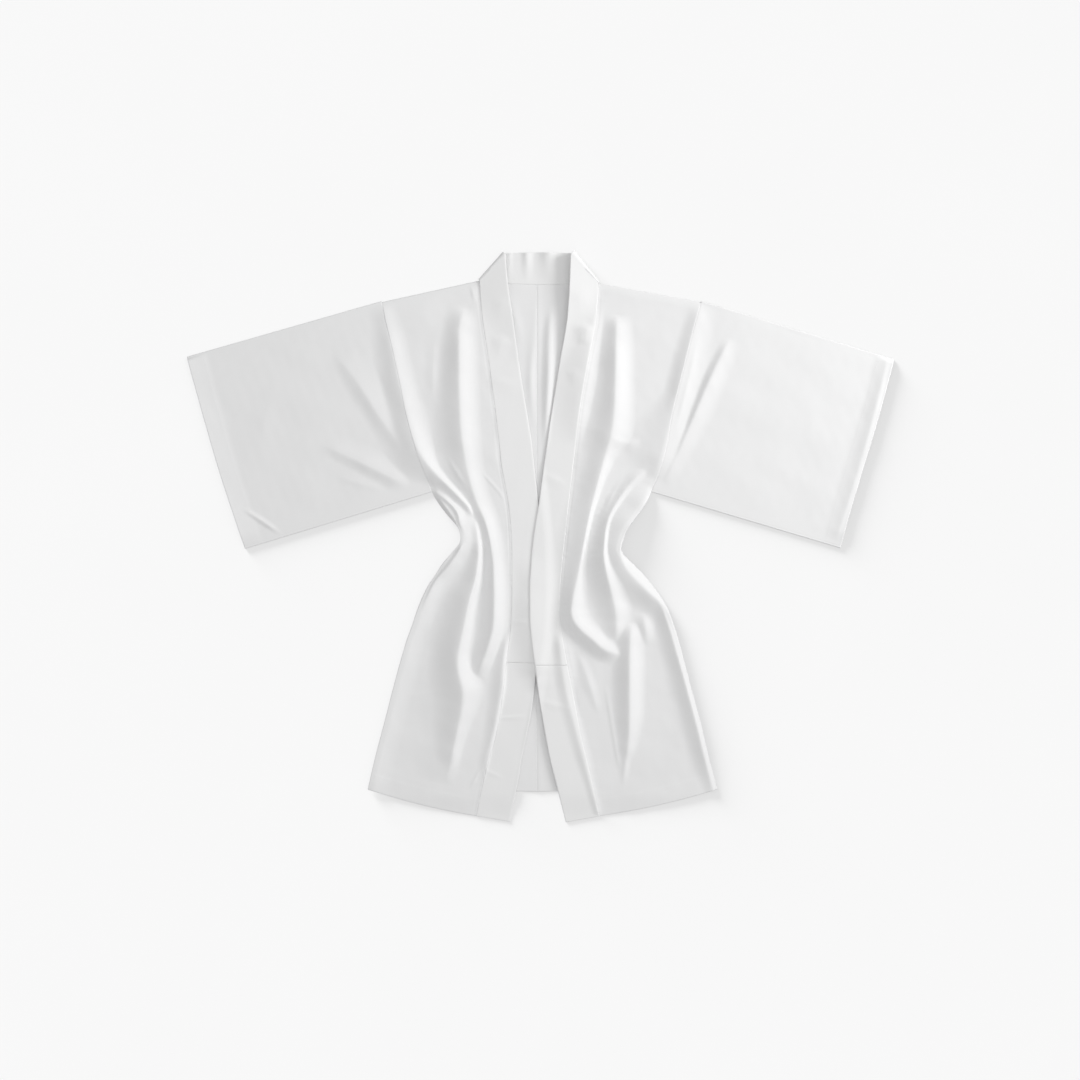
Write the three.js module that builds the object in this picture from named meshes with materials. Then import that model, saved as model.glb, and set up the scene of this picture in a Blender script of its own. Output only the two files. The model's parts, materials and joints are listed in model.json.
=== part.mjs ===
// A short white kimono with straight sleeves and one straight collar band, laid open on its back
// with the waist drawn in, so that long soft folds run down both fronts.
// Millimetres. +Z is up from the surface it lies on, +Y runs to the collar, +X to the wearer's left.
// "right" and "left" in names are the wearer's. The origin is on the surface, under the waist.
import * as THREE from 'three';

// ---- Driving sizes ----
const CLOTH = 1.2; // one layer of cloth
const BAND = 2.4; // the collar band, which is doubled cloth
const SEAM_GAP = 0.5; // between two pieces that are sewn edge to edge
const SEAM_LIFT = 0.35; // between two pieces that are sewn one over the other
const LAYER_LIFT = 1.3; // between two layers that only lie on each other
const SLEEVE_LIFT = 0.9; // inside a sleeve where it is pressed flat
const LAP_LIFT = 3.1; // how far the left band rises to pass over the right one
const CENTRE_BACK_X = -6; // the seam down the middle of the back
const SHOULDER_Y = 374; // the outer end of the shoulder line
const UNDERARM_Y = 72;
const SIDE_HEM_Y = -405; // the hem at the side seams
const BACK_HEM_Y = -409; // the back hem at its centre
const NECK_SEAM_Y = 402; // the back neck seam at its centre
const COLLAR_TOP_Y = 451; // the free edge of the collar behind the neck
const WAIST_Y = -5;
const HEM_BOW = 4; // how far the front hems curve down between their ends
const GATHER_HEIGHT = 2.2; // the small waves in the collar's free edge behind the neck
const BACK_CROWD = 0.75; // below 1 the back's columns lie closer together towards the side seam

// How many cells each piece has, across and along.
const FRONT_CELLS = { across: 18, along: 40 };
const BACK_CELLS = { across: 10, along: 40 };
const SLEEVE_CELLS = { over: 14, under: 8, along: 11, turn: 3 };
const BAND_CELLS = { across: 4, arm: 22, turn: 5, neck: 12, lower: 9 };

// A table's first argument names its columns, and each row becomes an object with those names.
function table(columns, rows) {
  const names = columns.split(' ');
  return rows.map((row) => Object.fromEntries(names.map((name, i) => [name, row[i]])));
}

// ---- Outlines ----
// The body's outer edge at each height: the armholes down to the underarm, then the side seams.
const SIDES = table('y right left', [
  [374, -254, 257],
  [340, -247, 247],
  [312, -240, 240],
  [280, -233, 232],
  [245, -225, 223],
  [205, -217.5, 213],
  [178, -211, 207.5],
  [150, -203, 203],
  [125, -195, 197],
  [100, -185, 189],
  [75, -175.5, 179],
  [55, -165, 170],
  [35, -150, 156],
  [18, -135, 143],
  [8, -129, 137],
  [-10, -128.5, 131],
  [-25, -140, 129.5],
  [-45, -157, 148],
  [-62, -168, 165],
  [-80, -180, 180],
  [-110, -194, 200],
  [-145, -206, 214],
  [-170, -215, 221.5],
  [-230, -232, 237.5],
  [-300, -250, 256.5],
  [-345, -262, 267],
  [-405, -276, 283],
]);

// The seams and free edges of the two bands at each height.
const BANDS = table('y rightSeam rightEdge leftEdge leftSeam', [
  [455, -101, -57, 47.5, 96],
  [409, -98, -53, 46.5, 93],
  [380, -96, -49, 45, 91.5],
  [340, -92, -43, 41.5, 88],
  [280, -83, -35, 31, 76.5],
  [220, -75, -25.5, 21.5, 65.5],
  [180, -70, -19, 15, 60],
  [145, -66, -13.5, 10, 56],
  [110, -62, -10, 5, 52],
  [50, -51.5, -3, -3, 45],
  [0, -47, 2, -11, 39.5],
  [-70, -46, 4, -17, 32.5],
  [-110, -46.3, 3.8, -17.3, 30],
  [-134, -47, 3, -17, 31],
  [-160, -49.5, 1, -15, 34.5],
  [-205, -54.8, -5.5, -9.4, 42.5],
  [-240, -59.2, -9.3, -5, 49.6],
  [-286, -65, -15.5, 2.3, 58.2],
  [-326, -73, -24, 9.3, 66.2],
  [-360, -83, -31, 16, 74.5],
  [-398, -93, -37.3, 25.5, 83.5],
  [-458, -105, -49.3, 40.5, 97],
]);

// The sleeve openings, from the fold at the top to the seam below.
const CUFFS = table('share rightX rightY leftX leftY', [
  [0, -565, 285, 565, 281],
  [0.3, -540, 195, 542, 195],
  [0.6, -513, 102, 515, 105],
  [0.85, -488, 26, 492, 28],
  [1, -473, -19, 480, -18],
]);

// The two ends of each band: its seam to the lower band, its hem, and where it folds at the neck.
const BAND_ENDS = {
  right: { join: -203, hemSeam: -448, hemEdge: -457, neck: [-97.5, 408.5], top: [-56, 450] },
  left: { join: -207, hemSeam: -448, hemEdge: -458, neck: [92.5, 404.5], top: [48, 450] },
};
const TURN_RADIUS = { neck: 1.9, right: 5, left: 7 }; // of the collar's fold, at its two ends

// ---- Folds: one row for each section of a crest, from top to bottom ----
// height is the rise there, left and right are the widths of the two slopes beside the crest.
const FOLD_COLUMNS = 'x y height left right';
const fold = (rows) => table(FOLD_COLUMNS, rows);

// Rises that the whole body follows, back and front together.
const BODY_FOLDS = {
  rightSide: fold([
    [-172, 76, 0, 8, 20],
    [-153, 50, 8, 9, 40],
    [-131, 20, 13, 9, 58],
    [-124, -6, 14, 9, 62],
    [-143, -32, 11, 10, 50],
    [-176, -75, 7, 12, 34],
    [-206, -145, 5, 12, 30],
    [-232, -230, 4, 12, 32],
    [-256, -320, 2, 12, 30],
    [-270, -375, 0, 12, 30],
  ]),
  leftSide: fold([
    [178, 78, 0, 30, 10],
    [160, 45, 9, 52, 10],
    [136, 10, 15, 76, 10],
    [126, -22, 17, 80, 12],
    [136, -52, 15, 66, 34],
    [166, -84, 11, 40, 22],
    [200, -118, 8, 30, 12],
    [216, -165, 7, 32, 12],
    [236, -240, 6, 34, 12],
    [260, -330, 4, 32, 12],
    [276, -392, 0, 30, 12],
  ]),
  neckRight: fold([
    [-18, 396, 0, 9, 11],
    [-15, 330, 3, 9, 11],
    [-13, 250, 4, 9, 11],
    [-8, 165, 0, 7, 9],
  ]),
  neckLeft: fold([
    [14, 360, 0, 14, 14],
    [12, 320, 5, 14, 14],
    [10, 240, 6, 13, 13],
    [5, 125, 0, 9, 10],
  ]),
};

// Folds of the fronts alone. The armhole folds run on into the sleeves.
const FRONT_FOLDS = {
  rightArmhole: fold([
    [-254, 374, 0, 26, 24],
    [-247, 345, 3, 30, 26],
    [-238, 300, 6, 34, 28],
    [-226, 245, 8, 38, 30],
    [-215, 200, 10, 48, 30],
    [-204, 158, 11, 56, 30],
    [-190, 127, 11, 44, 26],
    [-171, 103, 9, 22, 18],
    [-151, 83, 8, 14, 13],
    [-131, 63, 8, 12, 11],
    [-117, 48, 6, 11, 9],
    [-107, 30, 0, 9, 7],
  ]),
  rightMain: fold([
    [-122, 366, 0, 26, 26],
    [-129, 336, 7, 30, 32],
    [-130, 290, 11, 34, 34],
    [-129, 210, 12, 34, 34],
    [-126, 160, 12, 34, 34],
    [-117, 105, 9, 28, 30],
    [-104, 60, 8, 18, 26],
    [-87, 20, 8, 15, 24],
    [-77, -30, 9, 16, 24],
    [-74, -80, 11, 22, 24],
    [-75, -140, 12, 26, 24],
    [-82, -172, 12, 26, 22],
    [-92, -200, 9, 22, 20],
    [-103, -228, 0, 18, 16],
  ]),
  rightInner: fold([
    [-106, 26, 0, 10, 8],
    [-100, 0, 6, 12, 9],
    [-99, -30, 9, 16, 10],
    [-104, -68, 12, 34, 13],
    [-113, -100, 14, 52, 16],
    [-123, -148, 16, 54, 21],
    [-131, -190, 16, 50, 24],
    [-130, -218, 15, 46, 30],
    [-122, -246, 15, 42, 44],
    [-122, -275, 14, 42, 42],
    [-130, -305, 12, 38, 38],
    [-138, -340, 8, 28, 34],
    [-143, -374, 0, 22, 28],
  ]),
  rightSeam: fold([
    [-50, -150, 0, 10, 8],
    [-58, -190, 5, 20, 8],
    [-62, -240, 7, 26, 10],
    [-70, -290, 6, 22, 10],
    [-82, -345, 4, 18, 9],
    [-93, -395, 0, 14, 8],
  ]),
  leftArmhole: fold([
    [257, 374, 0, 24, 24],
    [247, 338, 5, 30, 34],
    [232, 282, 8, 32, 40],
    [218, 226, 10, 32, 42],
    [207, 178, 10, 34, 40],
    [196, 130, 9, 34, 38],
    [182, 86, 0, 20, 24],
  ]),
  leftMain: fold([
    [121, 354, 0, 22, 28],
    [121, 326, 7, 28, 30],
    [120, 270, 11, 32, 32],
    [118, 205, 12, 38, 36],
    [113, 165, 12, 44, 38],
    [103, 125, 10, 38, 22],
    [92, 85, 9, 34, 15],
    [80, 35, 8, 30, 11],
    [71, -15, 8, 28, 11],
    [61, -60, 10, 26, 18],
    [51, -105, 12, 24, 28],
    [51, -130, 13, 22, 34],
    [64, -149, 12, 22, 28],
    [84, -166, 11, 24, 24],
    [104, -182, 9, 24, 22],
    [136, -192, 0, 20, 18],
  ]),
  leftInner: fold([
    [174, 110, 0, 16, 12],
    [148, 88, 5, 18, 12],
    [126, 60, 6, 18, 10],
    [109, 27, 6, 20, 9],
    [102, -15, 7, 24, 9],
    [103, -46, 9, 30, 14],
    [111, -84, 11, 38, 24],
    [119, -116, 10, 38, 30],
    [121, -142, 7, 32, 24],
    [119, -170, 0, 22, 18],
  ]),
  leftHip: fold([
    [146, -138, 0, 24, 20],
    [143, -168, 9, 30, 27],
    [142, -220, 12, 32, 30],
    [142, -290, 11, 30, 30],
    [141, -335, 6, 26, 28],
    [140, -378, 0, 22, 22],
  ]),
  leftSlack: fold([
    [163, -122, 0, 16, 18],
    [167, -146, 4, 18, 20],
    [172, -176, 0, 16, 18],
  ]),
  leftBandTop: fold([
    [89, 372, 0, 44, 16],
    [82, 330, 4, 50, 22],
    [71, 260, 6, 54, 26],
    [61, 200, 5, 50, 24],
    [53, 146, 0, 40, 18],
  ]),
  leftSeam: fold([
    [34, -152, 0, 10, 20],
    [40, -180, 6, 14, 30],
    [52, -222, 6, 14, 30],
    [66, -285, 3, 12, 18],
    [84, -355, 3, 12, 16],
    [94, -396, 0, 10, 12],
  ]),
};

// Folds of the sleeves alone.
const SLEEVE_FOLDS = {
  rightLong: fold([
    [-334, 292, 0, 22, 20],
    [-304, 264, 6, 28, 24],
    [-280, 227, 8, 30, 26],
    [-256, 192, 5, 28, 24],
    [-232, 160, 0, 22, 20],
  ]),
  rightLow: fold([
    [-356, 148, 0, 14, 16],
    [-316, 131, 5, 18, 20],
    [-276, 112, 6, 18, 20],
    [-234, 92, 0, 14, 16],
  ]),
  rightCorner: fold([
    [-474, 40, 0, 12, 12],
    [-446, 22, 4, 14, 14],
    [-420, 2, 2, 12, 12],
    [-410, -4, 0, 12, 12],
  ]),
  leftLong: fold([
    [294, 304, 0, 16, 18],
    [278, 268, 6, 20, 24],
    [262, 228, 6, 20, 24],
    [238, 182, 0, 18, 20],
  ]),
  leftCuff: fold([
    [560, 278, 0, 20, 12],
    [546, 218, 4, 24, 12],
    [512, 96, 4, 24, 12],
    [478, -8, 0, 20, 12],
  ]),
};

// ---- Small maths ----
const { lerp, smoothstep } = THREE.MathUtils;

// A smooth curve through one column of a table, read at a value of its key column.
function reader(rows, key, column) {
  const sorted = [...rows].sort((a, b) => a[key] - b[key]);
  return (at) => {
    const last = sorted.length - 2;
    let i = sorted.findIndex((row, n) => n <= last && at <= sorted[n + 1][key]);
    if (i < 0) i = last;
    const [a, b] = [sorted[i], sorted[i + 1]];
    const before = sorted[Math.max(0, i - 1)];
    const after = sorted[Math.min(last + 1, i + 2)];
    const span = b[key] - a[key];
    const t = (at - a[key]) / span;
    const slopeA = ((b[column] - before[column]) / (b[key] - before[key])) * span;
    const slopeB = ((after[column] - a[column]) / (after[key] - a[key])) * span;
    if (t < 0 || t > 1) return lerp(a[column], b[column], t);
    return (
      (2 * t ** 3 - 3 * t ** 2 + 1) * a[column] +
      (t ** 3 - 2 * t ** 2 + t) * slopeA +
      (3 * t ** 2 - 2 * t ** 3) * b[column] +
      (t ** 3 - t ** 2) * slopeB
    );
  };
}

const sideX = { right: reader(SIDES, 'y', 'right'), left: reader(SIDES, 'y', 'left') };
const seamX = { right: reader(BANDS, 'y', 'rightSeam'), left: reader(BANDS, 'y', 'leftSeam') };
const edgeX = { right: reader(BANDS, 'y', 'rightEdge'), left: reader(BANDS, 'y', 'leftEdge') };
const cuffX = { right: reader(CUFFS, 'share', 'rightX'), left: reader(CUFFS, 'share', 'leftX') };
const cuffY = { right: reader(CUFFS, 'share', 'rightY'), left: reader(CUFFS, 'share', 'leftY') };
const OUTWARD = { right: -1, left: 1 };

// ---- Heights ----
const SPINE_STEPS = 6; // straight stretches between two rows of a fold's table
const CREST_SHARPNESS = 0.85; // below 1 the crest is a little creased
const FOLD_BLEND = 3; // folds that meet run together instead of adding up

// A fold's crest as short straight stretches, each end with its height and slope widths.
function spine(rows) {
  const points = [];
  for (let i = 0; i < rows.length - 1; i += 1) {
    const four = [rows[Math.max(0, i - 1)], rows[i], rows[i + 1], rows[Math.min(rows.length - 1, i + 2)]];
    const curve = (column, t) => {
      const [p, q, r, s] = four.map((row) => row[column]);
      return q + 0.5 * t * (r - p + t * (2 * p - 5 * q + 4 * r - s + t * (3 * (q - r) + s - p)));
    };
    const steps = i === rows.length - 2 ? SPINE_STEPS : SPINE_STEPS - 1;
    for (let n = 0; n <= steps; n += 1) {
      const t = n / SPINE_STEPS;
      const { height, left, right } = rows[i];
      const next = rows[i + 1];
      points.push({
        x: curve('x', t),
        y: curve('y', t),
        height: lerp(height, next.height, t * t * (3 - 2 * t)),
        left: lerp(left, next.left, t),
        right: lerp(right, next.right, t),
      });
    }
  }
  return points;
}

// The rise of one fold over the point (x, y).
function rise(points, x, y) {
  let nearest = Infinity;
  let found = 0;
  for (let i = 0; i < points.length - 1; i += 1) {
    const [a, b] = [points[i], points[i + 1]];
    const [dx, dy] = [b.x - a.x, b.y - a.y];
    const t = THREE.MathUtils.clamp(((x - a.x) * dx + (y - a.y) * dy) / (dx * dx + dy * dy), 0, 1);
    const [ox, oy] = [x - a.x - t * dx, y - a.y - t * dy];
    const away = Math.hypot(ox, oy);
    if (away < nearest) {
      nearest = away;
      const side = dx * oy - dy * ox;
      const width = side > 0 ? lerp(a.right, b.right, t) : lerp(a.left, b.left, t);
      const share = Math.min(1, away / width) ** CREST_SHARPNESS;
      found = lerp(a.height, b.height, t) * 0.5 * (1 + Math.cos(Math.PI * share));
    }
  }
  return found;
}

const spinesOf = (folds) => Object.values(folds).map(spine);
const BODY_SPINES = spinesOf(BODY_FOLDS);
const FRONT_SPINES = spinesOf(FRONT_FOLDS);
const SLEEVE_SPINES = spinesOf({
  ...SLEEVE_FOLDS,
  rightArmhole: FRONT_FOLDS.rightArmhole,
  leftArmhole: FRONT_FOLDS.leftArmhole,
});

function rises(spines, x, y) {
  const sum = spines.reduce((total, points) => total + rise(points, x, y) ** FOLD_BLEND, 0);
  return sum ** (1 / FOLD_BLEND);
}

// How much longer a wall's upright thickness is where its surface slopes.
const SLOPE_STEP = 1.5;
function steepness(surface, x, y) {
  const acrossX = (surface(x + SLOPE_STEP, y) - surface(x - SLOPE_STEP, y)) / (2 * SLOPE_STEP);
  const acrossY = (surface(x, y + SLOPE_STEP) - surface(x, y - SLOPE_STEP)) / (2 * SLOPE_STEP);
  return Math.hypot(1, acrossX, acrossY);
}

// The underside of the back: on the surface, but for the folds that the whole body follows.
const backUnder = (x, y) => rises(BODY_SPINES, x, y);
const backTop = (x, y) => backUnder(x, y) + CLOTH * steepness(backUnder, x, y);

// What the fronts lie on: the back, and the surface itself below the back's hem.
const HEM_DROP = { start: BACK_HEM_Y - 7, end: BACK_HEM_Y - 27 };
const support = (x, y) => backTop(x, y) * smoothstep(y, HEM_DROP.end, HEM_DROP.start);

// The underside of a front. At the side seam and the shoulder it comes down on the back's edge.
const SEAM_EASE = { side: 10, shoulder: 12, underarm: 20 };
function frontUnder(x, y) {
  const side = x < 0 ? 'right' : 'left';
  const inward = Math.abs(sideX[side](y)) - Math.abs(x);
  const atSide = y < UNDERARM_Y + SEAM_EASE.underarm ? smoothstep(inward, 0, SEAM_EASE.side) : 1;
  const below = shoulderY(side, x) - y;
  const eased = atSide * smoothstep(below, 0, SEAM_EASE.shoulder);
  const lift = lerp(SEAM_LIFT, LAYER_LIFT, eased) * smoothstep(y, HEM_DROP.end, HEM_DROP.start);
  return support(x, y) + lift + rises(FRONT_SPINES, x, y) * atSide;
}

// The shoulder line, from the neck to the top of the armhole, and the back neck seam.
function shoulderY(side, x) {
  const [neckX, neckY] = BAND_ENDS[side].neck;
  return lerp(neckY, SHOULDER_Y, (x - neckX) / (sideX[side](SHOULDER_Y) - neckX));
}
function neckSeamY(x) {
  const [neckX, neckY] = BAND_ENDS[x < CENTRE_BACK_X ? 'right' : 'left'].neck;
  return NECK_SEAM_Y + (neckY - NECK_SEAM_Y) * ((x - CENTRE_BACK_X) / (neckX - CENTRE_BACK_X)) ** 2;
}

// ---- Meshes ----
// A closed shell from rows of paired points, over and under, joined round its edge. Where wrap is
// true the last column joins the first, which makes a tube.
function shell(over, under, wrap = false) {
  const rows = over.length;
  const columns = over[0].length;
  const positions = [...over, ...under].flat().flatMap((p) => [p.x, p.y, p.z]);
  const at = (layer, row, column) => (layer * rows + row) * columns + (column % columns);
  const faces = [];
  const quad = (a, b, c, d) => faces.push(a, b, c, a, c, d);
  const cells = wrap ? columns : columns - 1;
  for (let r = 0; r < rows - 1; r += 1) {
    for (let c = 0; c < cells; c += 1) {
      quad(at(0, r, c), at(0, r, c + 1), at(0, r + 1, c + 1), at(0, r + 1, c));
      quad(at(1, r, c), at(1, r + 1, c), at(1, r + 1, c + 1), at(1, r, c + 1));
    }
    if (!wrap) {
      quad(at(0, r, 0), at(0, r + 1, 0), at(1, r + 1, 0), at(1, r, 0));
      quad(at(0, r, cells), at(1, r, cells), at(1, r + 1, cells), at(0, r + 1, cells));
    }
  }
  for (let c = 0; c < cells; c += 1) {
    quad(at(0, 0, c), at(1, 0, c), at(1, 0, c + 1), at(0, 0, c + 1));
    quad(at(0, rows - 1, c), at(0, rows - 1, c + 1), at(1, rows - 1, c + 1), at(1, rows - 1, c));
  }
  if (volume(positions, faces) < 0) faces.reverse();
  const geometry = new THREE.BufferGeometry();
  geometry.setAttribute('position', new THREE.Float32BufferAttribute(positions, 3));
  geometry.setIndex(faces);
  geometry.computeVertexNormals();
  return geometry;
}

function volume(positions, faces) {
  const corner = (i) => new THREE.Vector3().fromArray(positions, 3 * faces[i]);
  let sum = 0;
  for (let i = 0; i < faces.length; i += 3) sum += corner(i).dot(corner(i + 1).cross(corner(i + 2)));
  return sum / 6;
}

// A panel whose two walls are one above the other, from its plan and its underside.
function panel(cells, plan, underside, wall) {
  const [over, under] = [[], []];
  for (let r = 0; r <= cells.along; r += 1) {
    const row = Array.from({ length: cells.across + 1 }, (_, c) => plan(c / cells.across, r / cells.along));
    under.push(row.map(([x, y]) => new THREE.Vector3(x, y, underside(x, y))));
    over.push(under[r].map((p) => p.clone().setZ(p.z + wall * steepness(underside, p.x, p.y))));
  }
  return shell(over, under);
}

// A strip with a wall on both sides of its middle surface, which may turn over on itself.
function strip(rows, wall) {
  const normal = (r, c) => {
    const along = rows[Math.min(r + 1, rows.length - 1)][c].clone().sub(rows[Math.max(r - 1, 0)][c]);
    const line = rows[r];
    const across = line[Math.min(c + 1, line.length - 1)].clone().sub(line[Math.max(c - 1, 0)]);
    return along.cross(across).setLength(wall / 2);
  };
  const over = rows.map((row, r) => row.map((p, c) => p.clone().add(normal(r, c))));
  const under = rows.map((row, r) => row.map((p, c) => p.clone().sub(normal(r, c))));
  return shell(over, under);
}

// Rows lie closer together at the waist, where the side seams curve most.
const WAIST_ROWS = { extra: 1.5, reach: 58 };
const rowHeights = (() => {
  const steps = 400; // of the sum that spaces the rows
  const y = (n) => lerp(SHOULDER_Y, SIDE_HEM_Y, n / steps);
  const crowd = (n) => 1 + WAIST_ROWS.extra * Math.exp(-(((y(n) - WAIST_Y) / WAIST_ROWS.reach) ** 2));
  const sums = [0];
  for (let n = 1; n <= steps; n += 1) sums.push(sums[n - 1] + crowd(n));
  return (share) => {
    const wanted = share * sums[steps];
    const n = Math.max(1, sums.findIndex((sum) => sum >= wanted));
    return y(n - 1 + (wanted - sums[n - 1]) / (sums[n] - sums[n - 1]));
  };
})();

// ---- Pieces ----
// How far down a panel, as a share of its length, its hem's bow begins and its top's shape ends.
const HEM_BOW_FROM = 0.75;
const BACK_TOP_TO = 0.12;

// A front, from its band seam to the armhole and side seam.
function front(side) {
  const out = OUTWARD[side];
  const { neck, hemSeam } = BAND_ENDS[side];
  const plan = (across, along) => {
    const outerY = rowHeights(along);
    const down = (SHOULDER_Y - outerY) / (SHOULDER_Y - SIDE_HEM_Y);
    const innerY = lerp(neck[1], hemSeam, down);
    const inner = seamX[side](innerY) + (out * SEAM_GAP) / 2;
    const outer = sideX[side](outerY) - (out * SEAM_GAP) / 2;
    const bow = HEM_BOW * 4 * across * (1 - across) * smoothstep(down, HEM_BOW_FROM, 1);
    return [lerp(inner, outer, across), lerp(innerY, outerY, across) - bow];
  };
  return panel(FRONT_CELLS, plan, frontUnder, CLOTH);
}

// One half of the back, from the centre-back seam to the armhole and side seam.
function back(side) {
  const out = OUTWARD[side];
  const [neckX] = BAND_ENDS[side].neck;
  const centreX = CENTRE_BACK_X + (out * SEAM_GAP) / 2;
  const plan = (across, along) => {
    const outerY = rowHeights(along);
    const down = (SHOULDER_Y - outerY) / (SHOULDER_Y - SIDE_HEM_Y);
    const innerY = lerp(NECK_SEAM_Y - SEAM_GAP, BACK_HEM_Y, down);
    const outward = across ** BACK_CROWD;
    const x = lerp(centreX, sideX[side](outerY) - (out * SEAM_GAP) / 2, outward);
    const y = lerp(innerY, outerY, outward);
    const top = Math.abs(x) < Math.abs(neckX) ? neckSeamY(x) - SEAM_GAP : shoulderY(side, x) - SEAM_GAP;
    const topRow = lerp(NECK_SEAM_Y - SEAM_GAP, SHOULDER_Y, outward);
    return [x, y + (top - topRow) * (1 - smoothstep(down, 0, BACK_TOP_TO))];
  };
  return panel(BACK_CELLS, plan, backUnder, CLOTH);
}

// A sleeve: a tube pressed flat, folded at the top, with its seam below. Its folds fade out over
// this share of its width at both.
const SLEEVE_EDGE = 0.09;
function sleeve(side) {
  const out = OUTWARD[side];
  const fadeIn = (share) => smoothstep(Math.min(share, 1 - share), 0, SLEEVE_EDGE);
  const plan = (share, along) => {
    const seamY = lerp(SHOULDER_Y, UNDERARM_Y, share);
    const seam = [sideX[side](seamY) + (out * SEAM_GAP) / 2, seamY];
    return [lerp(seam[0], cuffX[side](share), along), lerp(seam[1], cuffY[side](share), along)];
  };
  const [over, under] = [[], []];
  for (let r = 0; r <= SLEEVE_CELLS.along; r += 1) {
    const along = r / SLEEVE_CELLS.along;
    const [outer, inner] = [[], []];
    const add = (x, y, outerZ, innerZ, dx = 0, dy = 0, outerR = 0, innerR = 0) => {
      outer.push(new THREE.Vector3(x + dx * outerR, y + dy * outerR, outerZ));
      inner.push(new THREE.Vector3(x + dx * innerR, y + dy * innerR, innerZ));
    };
    const ceiling = (share) => (x, y) =>
      CLOTH + SLEEVE_LIFT + rises(SLEEVE_SPINES, x, y) * fadeIn(share);
    const turn = (share, from) => {
      const [x, y] = plan(share, along);
      const [ax, ay] = plan(1 - share, along);
      const length = Math.hypot(x - ax, y - ay);
      const [dx, dy] = [(x - ax) / length, (y - ay) / length];
      const innerR = SLEEVE_LIFT / 2;
      const outerR = innerR + CLOTH;
      for (let n = 1; n <= SLEEVE_CELLS.turn; n += 1) {
        const angle = from * (0.5 - n / (SLEEVE_CELLS.turn + 1)) * Math.PI;
        const [reach, height] = [Math.cos(angle), Math.sin(angle)];
        add(x, y, outerR + outerR * height, outerR + innerR * height, dx * reach, dy * reach, outerR, innerR);
      }
    };
    for (let n = 0; n <= SLEEVE_CELLS.over; n += 1) {
      const share = 1 - n / SLEEVE_CELLS.over;
      const [x, y] = plan(share, along);
      const z = ceiling(share)(x, y);
      add(x, y, z + CLOTH * steepness(ceiling(share), x, y), z);
    }
    turn(0, 1);
    for (let n = 0; n <= SLEEVE_CELLS.under; n += 1) {
      const [x, y] = plan(n / SLEEVE_CELLS.under, along);
      add(x, y, 0, CLOTH);
    }
    turn(1, -1);
    over.push(outer);
    under.push(inner);
  }
  return shell(over, under, true);
}

// The underside of a band. The left one rises where it passes over the right one, and comes down
// again between these distances past its edge.
const LAP_FALL = { start: 2, end: 20 };
function bandUnder(side) {
  return (x, y) => {
    const lift = LAYER_LIFT * smoothstep(y, HEM_DROP.end, HEM_DROP.start);
    const past = x - edgeX.right(y);
    const lap = side === 'left' ? LAP_LIFT * (1 - smoothstep(past, LAP_FALL.start, LAP_FALL.end)) : 0;
    return support(x, y) + lift + lap + rises(FRONT_SPINES, x, y);
  };
}

// One point across a band between its seam and its free edge.
function bandPoint(side, seamY, edgeY, share) {
  const inset = (OUTWARD[side] * SEAM_GAP) / 2;
  const x = lerp(seamX[side](seamY) - inset, edgeX[side](edgeY), share);
  return [x, lerp(seamY, edgeY, share)];
}

// The stretch of the collar on one front, from the joining seam up to the fold at the neck.
const NECK_EASE = { seam: 350, edge: 150, done: 6 }; // the heights between which it rises there
const ARM_TILT = 0.7; // the share of the way up from which its cross lines tilt
const ARM_CLOSE = 0.92; // and from which they settle on the fold
function armRows(side) {
  const { join, neck, top } = BAND_ENDS[side];
  const under = bandUnder(side);
  return Array.from({ length: BAND_CELLS.arm + 1 }, (_, r) => {
    const along = r / BAND_CELLS.arm;
    const seamY = lerp(join, neck[1], along);
    const edgeY = seamY + (top[1] - neck[1]) * smoothstep(along, ARM_TILT, 1);
    return Array.from({ length: BAND_CELLS.across + 1 }, (__, c) => {
      const share = c / BAND_CELLS.across;
      const [x, y] = bandPoint(side, seamY, edgeY, share);
      const flat = under(x, y) + (BAND / 2) * steepness(under, x, y);
      const raised = BAND / 2 + 2 * turnRadius(side, share);
      const from = lerp(NECK_EASE.seam, NECK_EASE.edge, share);
      const eased = smoothstep(y, from, lerp(neck[1] - NECK_EASE.done, top[1], share));
      const [fx, fy] = foldPoint(side, share);
      const close = smoothstep(along, ARM_CLOSE, 1);
      return new THREE.Vector3(lerp(x, fx, close), lerp(y, fy, close), lerp(flat, raised, eased));
    });
  });
}

const turnRadius = (side, share) => lerp(TURN_RADIUS.neck, TURN_RADIUS[side], share);
function foldPoint(side, share) {
  const { neck, top } = BAND_ENDS[side];
  return [lerp(neck[0], top[0], share), lerp(neck[1], top[1], share)];
}

// The collar's fold at the neck, where it turns under to run behind it.
function turnRows(side) {
  const { neck, top } = BAND_ENDS[side];
  const length = Math.hypot(top[0] - neck[0], top[1] - neck[1]);
  const out = [(OUTWARD[side] * (top[1] - neck[1])) / length, Math.abs(top[0] - neck[0]) / length];
  return Array.from({ length: BAND_CELLS.turn }, (_, r) => {
    const angle = ((r + 1) / (BAND_CELLS.turn + 1)) * Math.PI;
    return Array.from({ length: BAND_CELLS.across + 1 }, (__, c) => {
      const share = c / BAND_CELLS.across;
      const radius = turnRadius(side, share);
      const [x, y] = foldPoint(side, share);
      const reach = radius * Math.sin(angle);
      const height = BAND / 2 + radius * (1 + Math.cos(angle));
      return new THREE.Vector3(x + out[0] * reach, y + out[1] * reach, height);
    });
  });
}

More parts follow.
